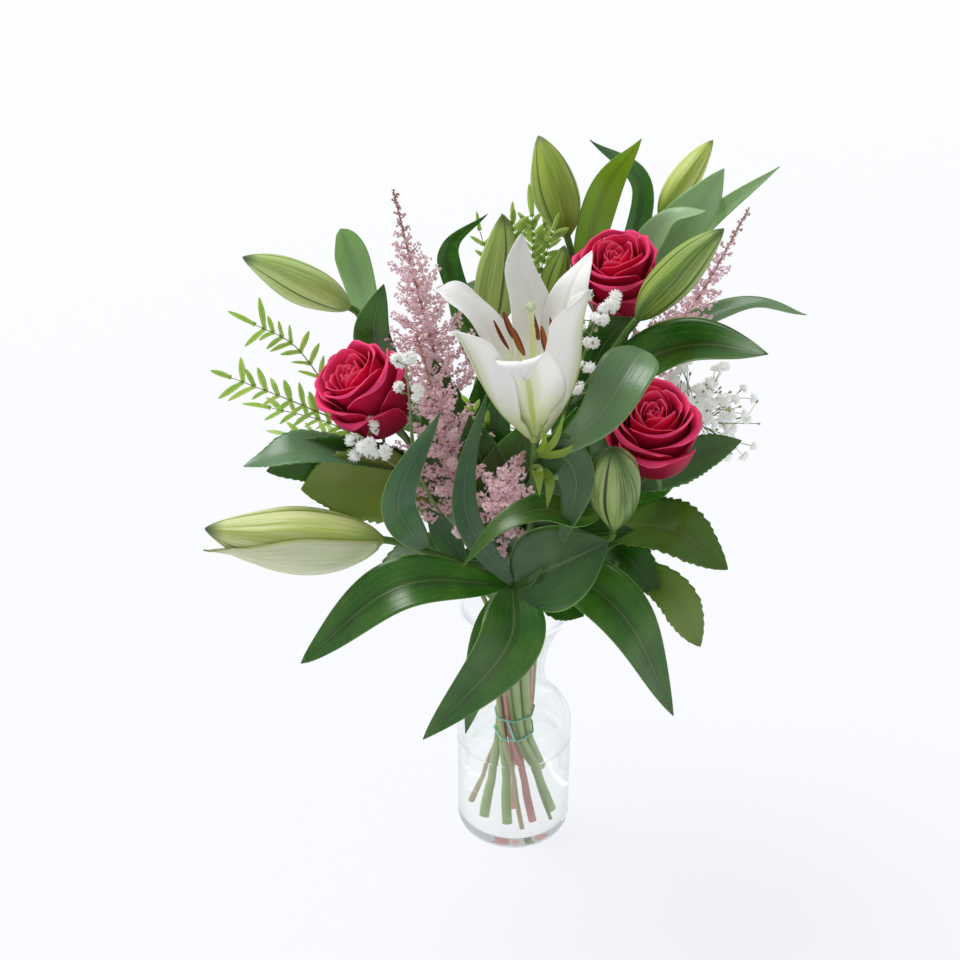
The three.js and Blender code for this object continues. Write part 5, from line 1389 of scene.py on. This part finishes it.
# Painted glow: the blooms and the green buds glow faintly in their own colour, so they look lit through
# their thin petals. They are no lamp.
snow = Finish("gypsophila_white_painted_glow", {"Roughness": 0.7, "Subsurface Weight": 0.6, "Emission Strength": 0.09})
petals = snow.mix(snow.times(snow.mark("middle"), 0.35), "f4f5f2", "d3dcb0")
petals = snow.mix(snow.mark("tone"), petals, "74825a")
snow.feed("Base Color", petals)
snow.feed("Emission Color", petals)
hair_stem = Finish("gypsophila_branch", {"Roughness": 0.6})
tint = hair_stem.mix(hair_stem.noise(hair_stem.place(), 120.0), "5f7a3c", "93a56a")
hair_stem.feed("Base Color", tint)
for number, (name, forks) in enumerate(SPRAYS.items()):
    own = np.random.default_rng(GYPSOPHILA_SEED + number)
    turn, way = GYPSOPHILA_STEMS[name]
    skin = Skin()
    above, line = stem_line(THIN_RING, turn, way, SPRAY_RADIUS)
    skin.add(*tube(line, stem_radii(line, SPRAY_RADIUS, SPRAY_END_RADIUS), 8))
    blooms, knobs = [], []
    for share, fork, heads, reach, face in forks:
        start = through(above, share)[0]
        skin.add(*tube(np.linspace(start, fork, 6), np.linspace(*FORK_RADII, 6), 6))
        for i in range(heads):
            rise = 1 - (i + 0.5) / heads
            way_out = heading(i * GOLDEN_ANGLE) * math.sqrt(1 - rise * rise) + (0, 0, rise)
            way_out = posed(way_out, (0, 0, 0), face, 0)
            length = reach * (1 if i % 2 else INNER_REACH) * own.uniform(0.85, 1)
            tip = way_out * length + fork
            bend = way_out * length * 0.5 + fork + own.normal(0, 1.2, 3)
            branch = (fork, bend, tip)
            skin.add(*tube(through(branch, np.linspace(0, 1, 7)), np.linspace(*HAIR_RADII, 7), 5))
            ends = [(tip, way_out)]
            for k in range(SIDE_TWIGS):
                at = through(branch, FIRST_TWIG + TWIG_STEP * k)[0]
                sway = unit(way_out + own.normal(0, 0.55, 3))
                end = at + sway * length * own.uniform(0.3, 0.42)
                skin.add(*tube(np.linspace(at, end, 4), HAIR_END_RADIUS, 4))
                ends.append((end, sway))
            for k, (end, sway) in enumerate(ends):
                if (i + k) % 3 == 2:
                    knobs.append((end, sway, own.uniform(1.2, 1.7), 1.0))
                else:
                    blooms.append((end, sway, own.uniform(1.2, 1.9), 0.0))
    branches = skin.piece("gypsophila_" + name + "_branches", [hair_stem])
    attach(branches, "root")
    flowers = scattered("gypsophila_" + name + "_blooms", blooms, white_bloom, snow, 1.0, number)
    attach(flowers, "root")
    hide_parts("gypsophila_" + name)
    buds = scattered("gypsophila_" + name + "_buds", knobs, green_knob, snow, 1.0, number)
    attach(buds, "root")

# Pistacia twigs carry feather leaves: narrow glossy leaflets in pairs along a thin rib, yellow-green
# against the light.
PISTACIA_STEMS = {
    "left": (THIN_RING, 190, 1.8, ((-50, -8, 265), (-88, -16, 325), (-118, -20, 362))),
    "back": (STEM_RING, 90, 2, ((4, 26, 270), (6, 40, 360), (4, 48, 425))),
}
TWIG_FACE = (0.1, -0.7, 0.7)
FRONT_FACE = (0, -1, 0.2)
FEATHERS = {
    "left": (
        (1, ((-152, -2, 408), (-182, 0, 426)), 7, 22, TWIG_FACE),
        (0.95, ((-158, -24, 380), (-198, -22, 396)), 7, 22, TWIG_FACE),
        (0.8, ((-134, -8, 356), (-176, -4, 366)), 7, 22, TWIG_FACE),
        (0.65, ((-122, 2, 336), (-166, 6, 340)), 7, 22, TWIG_FACE),
        (0.5, ((-110, 24, 300), (-150, 38, 296)), 6, 22, TWIG_FACE),
    ),
    "back": (
        (1, ((-2, 44, 462), (-5, 42, 490)), 8, 24, FRONT_FACE),
        (1, ((10, 46, 462), (9, 44, 490)), 8, 24, FRONT_FACE),
        (0.95, ((18, 48, 456), (24, 46, 480)), 7, 22, FRONT_FACE),
        (0.9, ((-16, 58, 440), (-28, 62, 476)), 5, 18, FRONT_FACE),
        (0.45, ((2, 0, 345), (-22, -50, 372), (-36, -72, 400)), 7, 20, FRONT_FACE),
        (0.6, ((26, 86, 385), (36, 124, 398)), 7, 22, TWIG_FACE),
        (0.4, ((24, 90, 310), (30, 140, 296)), 7, 22, TWIG_FACE),
    ),
}
BARE_SHARE, TIP_SHARE = 0.28, 0.97
LEAFLET_WIDTH, LEAFLET_SHARE = 0.24, 0.7
LEAFLET_ROWS, LEAFLET_COLUMNS = 12, 6
PISTACIA_SEED, RIB_RADII = 20, (0.6, 0.28)
# How far leaflets stand out to the side, on feathers seen face on and on the others, and ahead.
FRONT_SPREAD, TWIG_SPREAD, LEAFLET_AHEAD = 0.5, 0.8, 0.62


def single_vein(made, u, v, across):
    """Faint side veins straight across a leaflet."""
    vein = made.step(made.beat(v, 9.0), 0.0, 0.12, 0.3, 0.0)
    return vein, vein


pistacia_leaf = leaf_finish(
    "pistacia_leaflet",
    {"Specular IOR Level": 0.35, **soft(0.6, 0.003, (0.8, 1.0, 0.5))},
    ("7aa43c", "8cb054", "a8c87c", "9cbc50", "94b45c", "b0cc74"),
    single_vein,
)
pistacia_twig = stem_finish("pistacia_twig", "8fa052", "b4ac7e", "94704a")
for number, (name, (ring, turn, radius, way)) in enumerate(PISTACIA_STEMS.items()):
    own = np.random.default_rng(PISTACIA_SEED + number)
    skin = Skin()
    above, line = stem_line(ring, turn, way, radius)
    skin.add(*tube(line, stem_radii(line, radius, 0.8 * radius), 10), kind=1)
    for share, points, pairs, size, face in FEATHERS[name]:
        rib = (through(above, share)[0], *points)
        skin.add(*tube(through(rib, np.linspace(0, 1, 20)), np.linspace(*RIB_RADII, 20), 6), kind=1)
        upper = unit(np.array(face))
        spread = FRONT_SPREAD if face is FRONT_FACE else TWIG_SPREAD
        for i in range(pairs + 1):
            at = BARE_SHARE + (TIP_SHARE - BARE_SHARE) * i / pairs
            along = way_at(rib, at)
            across = unit(np.cross(along, upper))
            root = through(rib, at)[0]
            last = i == pairs
            for hand in (0,) if last else (-1, 1):
                sway = own.normal(0, 0.13, 3)
                way_out = across * hand * spread + along * (1 if last else LEAFLET_AHEAD) + sway
                length = size * LEAFLET_SHARE * own.uniform(0.7, 1.15)
                bend = root + way_out * length * 0.5 + upper * own.uniform(0.2, 1.6)
                leaflet = (root, bend, root + way_out * length)
                width = length * LEAFLET_WIDTH * own.uniform(0.9, 1.2)
                shape = (leaf_outline(0.9, 0.6), 0.3, 0.2, None, (LEAFLET_ROWS, LEAFLET_COLUMNS))
                grid = leaf_grid(leaflet, width, tuple(upper + sway), *shape)
                shell(grid, blade_thickness(LEAFLET_COLUMNS), skin, tone=own.uniform(-0.8, 0.2))
    piece = skin.piece("pistacia_" + name + "_feathers", [pistacia_leaf, pistacia_twig])
    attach(piece, "root")
    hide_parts("pistacia_" + name)

# The tie is a thin turquoise cord of two plies, wound twice round the stems at their waist, tight
# against the outermost of them, with one strand that runs from turn to turn.
TIE_HEIGHTS, STRAND_TURNS = (88, 106), (270, 250)
PLY_RADIUS, PLY_OFFSET, PLY_LAY, LAY_STEPS = 0.45, 0.36, 4.0, 8
STRAND_RADIUS, STRAND_OUT = 0.8, 0.03
STEM_SIDES = 48


def closed_tube(line, radius, sides=6):
    """A ring of tube along a closed line, whose last point leads back to its first."""
    way = unit(np.roll(line, -1, 0) - np.roll(line, 1, 0))
    other = unit(np.cross(way, (0, 0, 1)))
    corners = rings(line, np.cross(other, way), other, radius, sides)
    rows = len(line)
    j, k = cells(rows, sides)
    after, beside = (j + 1) % rows, (k + 1) % sides
    faces = [j * sides + k, after * sides + k, after * sides + beside, j * sides + beside]
    return corners, np.column_stack(faces).tolist(), np.zeros((4 * rows * sides, 2))


def girdle(height, away):
    """A closed line round all the stems at a height, a little away from them, evenly spaced, and how
    far the cord's plies have turned at each of its points."""
    turns = np.arange(STEM_SIDES) * 2 * np.pi / STEM_SIDES
    rim = np.column_stack([np.cos(turns), np.sin(turns)])
    spots = []
    for line, thickness in bundle:
        centre = [np.interp(height, line[:, 2], line[:, axis]) for axis in (0, 1)]
        spots += [tuple(spot) for spot in centre + rim * (thickness + away)]
    hull = []
    for way in (sorted(spots), sorted(spots, reverse=True)):
        side = []
        for x, y in way:
            while len(side) > 1:
                (ax, ay), (bx, by) = side[-2:]
                if (bx - ax) * (y - ay) - (by - ay) * (x - ax) > 0:
                    break
                side.pop()
            side.append((x, y))
        hull += side[:-1]
    hull = np.array([*hull, hull[0]])
    run = np.concatenate([[0], np.cumsum(np.linalg.norm(np.diff(hull, axis=0), axis=1))])
    lays = round(run[-1] / PLY_LAY)
    at = np.linspace(0, run[-1], lays * LAY_STEPS, endpoint=False)
    flat = np.column_stack([np.interp(at, run, hull[:, axis]) for axis in (0, 1)])
    return flat, np.arange(lays * LAY_STEPS) * 2 * np.pi / LAY_STEPS


skin = Skin()
ends = []
for height, strand_turn in zip(TIE_HEIGHTS, STRAND_TURNS):
    flat, lay = girdle(height, PLY_RADIUS + PLY_OFFSET)
    out = flat - flat.mean(axis=0)
    facing = np.degrees(np.arctan2(out[:, 1], out[:, 0])) % 360
    front = np.argmin(np.abs(facing - strand_turn))
    ends.append(np.array([*flat[front] + out[front] * STRAND_OUT, height]))
    out = unit(out)
    for ply in (0, math.pi):
        ring = flat + out * (PLY_OFFSET * np.cos(lay + ply))[:, None]
        skin.add(*closed_tube(np.column_stack([ring, height + PLY_OFFSET * np.sin(lay + ply)]), PLY_RADIUS))
middle = (ends[0] + ends[1]) / 2 * (1 + STRAND_OUT, 1 + STRAND_OUT, 1)
strand = through([ends[0], middle, ends[1]], np.linspace(0, 1, 12))
skin.add(*tube(strand, STRAND_RADIUS, 8))
cord = Finish("tie_cord", {"Roughness": 0.7, "Sheen Weight": 0.2})
cord.feed("Base Color", cord.mix(cord.noise(cord.place(), 900.0), "62c4b0", "a6e4d8"))
tie = skin.piece("stem_tie_cord", [cord])
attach(tie, "root")
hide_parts("stem_tie")

# The bouquet stands on a plain white surface in soft daylight: a bright sky all round, and one large
# window from the upper left.
FLOOR = 30.0
PAPER, PAPER_GLOW, PAPER_STRENGTH = (0.1, 0.1, 0.105, 1), (0.95, 0.955, 1.0, 1), 0.87
SKY, SKY_STRENGTH = (0.95, 0.975, 1.0, 1), 0.46
WINDOW_STRENGTH, WINDOW_WIDTH, WINDOW_TILT, WINDOW_TURN = 2.5, 36, -16, -26

floor_mesh = bpy.data.meshes.new("floor")
corners = [(x * FLOOR, y * FLOOR, 0) for x, y in ((-1, -1), (1, -1), (1, 1), (-1, 1))]
floor_mesh.from_pydata(corners, [], [(0, 1, 2, 3)])
paper = Finish(
    "white_paper",
    {
        "Roughness": 0.9,
        "Base Color": PAPER,
        "Emission Color": PAPER_GLOW,
        "Emission Strength": PAPER_STRENGTH,
    },
)
floor_mesh.materials.append(paper.material)
floor = bpy.data.objects.new("floor", floor_mesh)
bpy.context.collection.objects.link(floor)
sky = bpy.data.worlds.new("daylight")
sky.use_nodes = True
background = sky.node_tree.nodes["Background"]
background.inputs["Color"].default_value = SKY
background.inputs["Strength"].default_value = SKY_STRENGTH
bpy.context.scene.world = sky
window = bpy.data.objects.new("window", bpy.data.lights.new("window", "SUN"))
window.data.energy = WINDOW_STRENGTH
window.data.angle = math.radians(WINDOW_WIDTH)
window.rotation_euler = (math.radians(WINDOW_TILT), math.radians(WINDOW_TURN), 0)
bpy.context.collection.objects.link(window)
bpy.context.scene.view_settings.view_transform = "Standard"
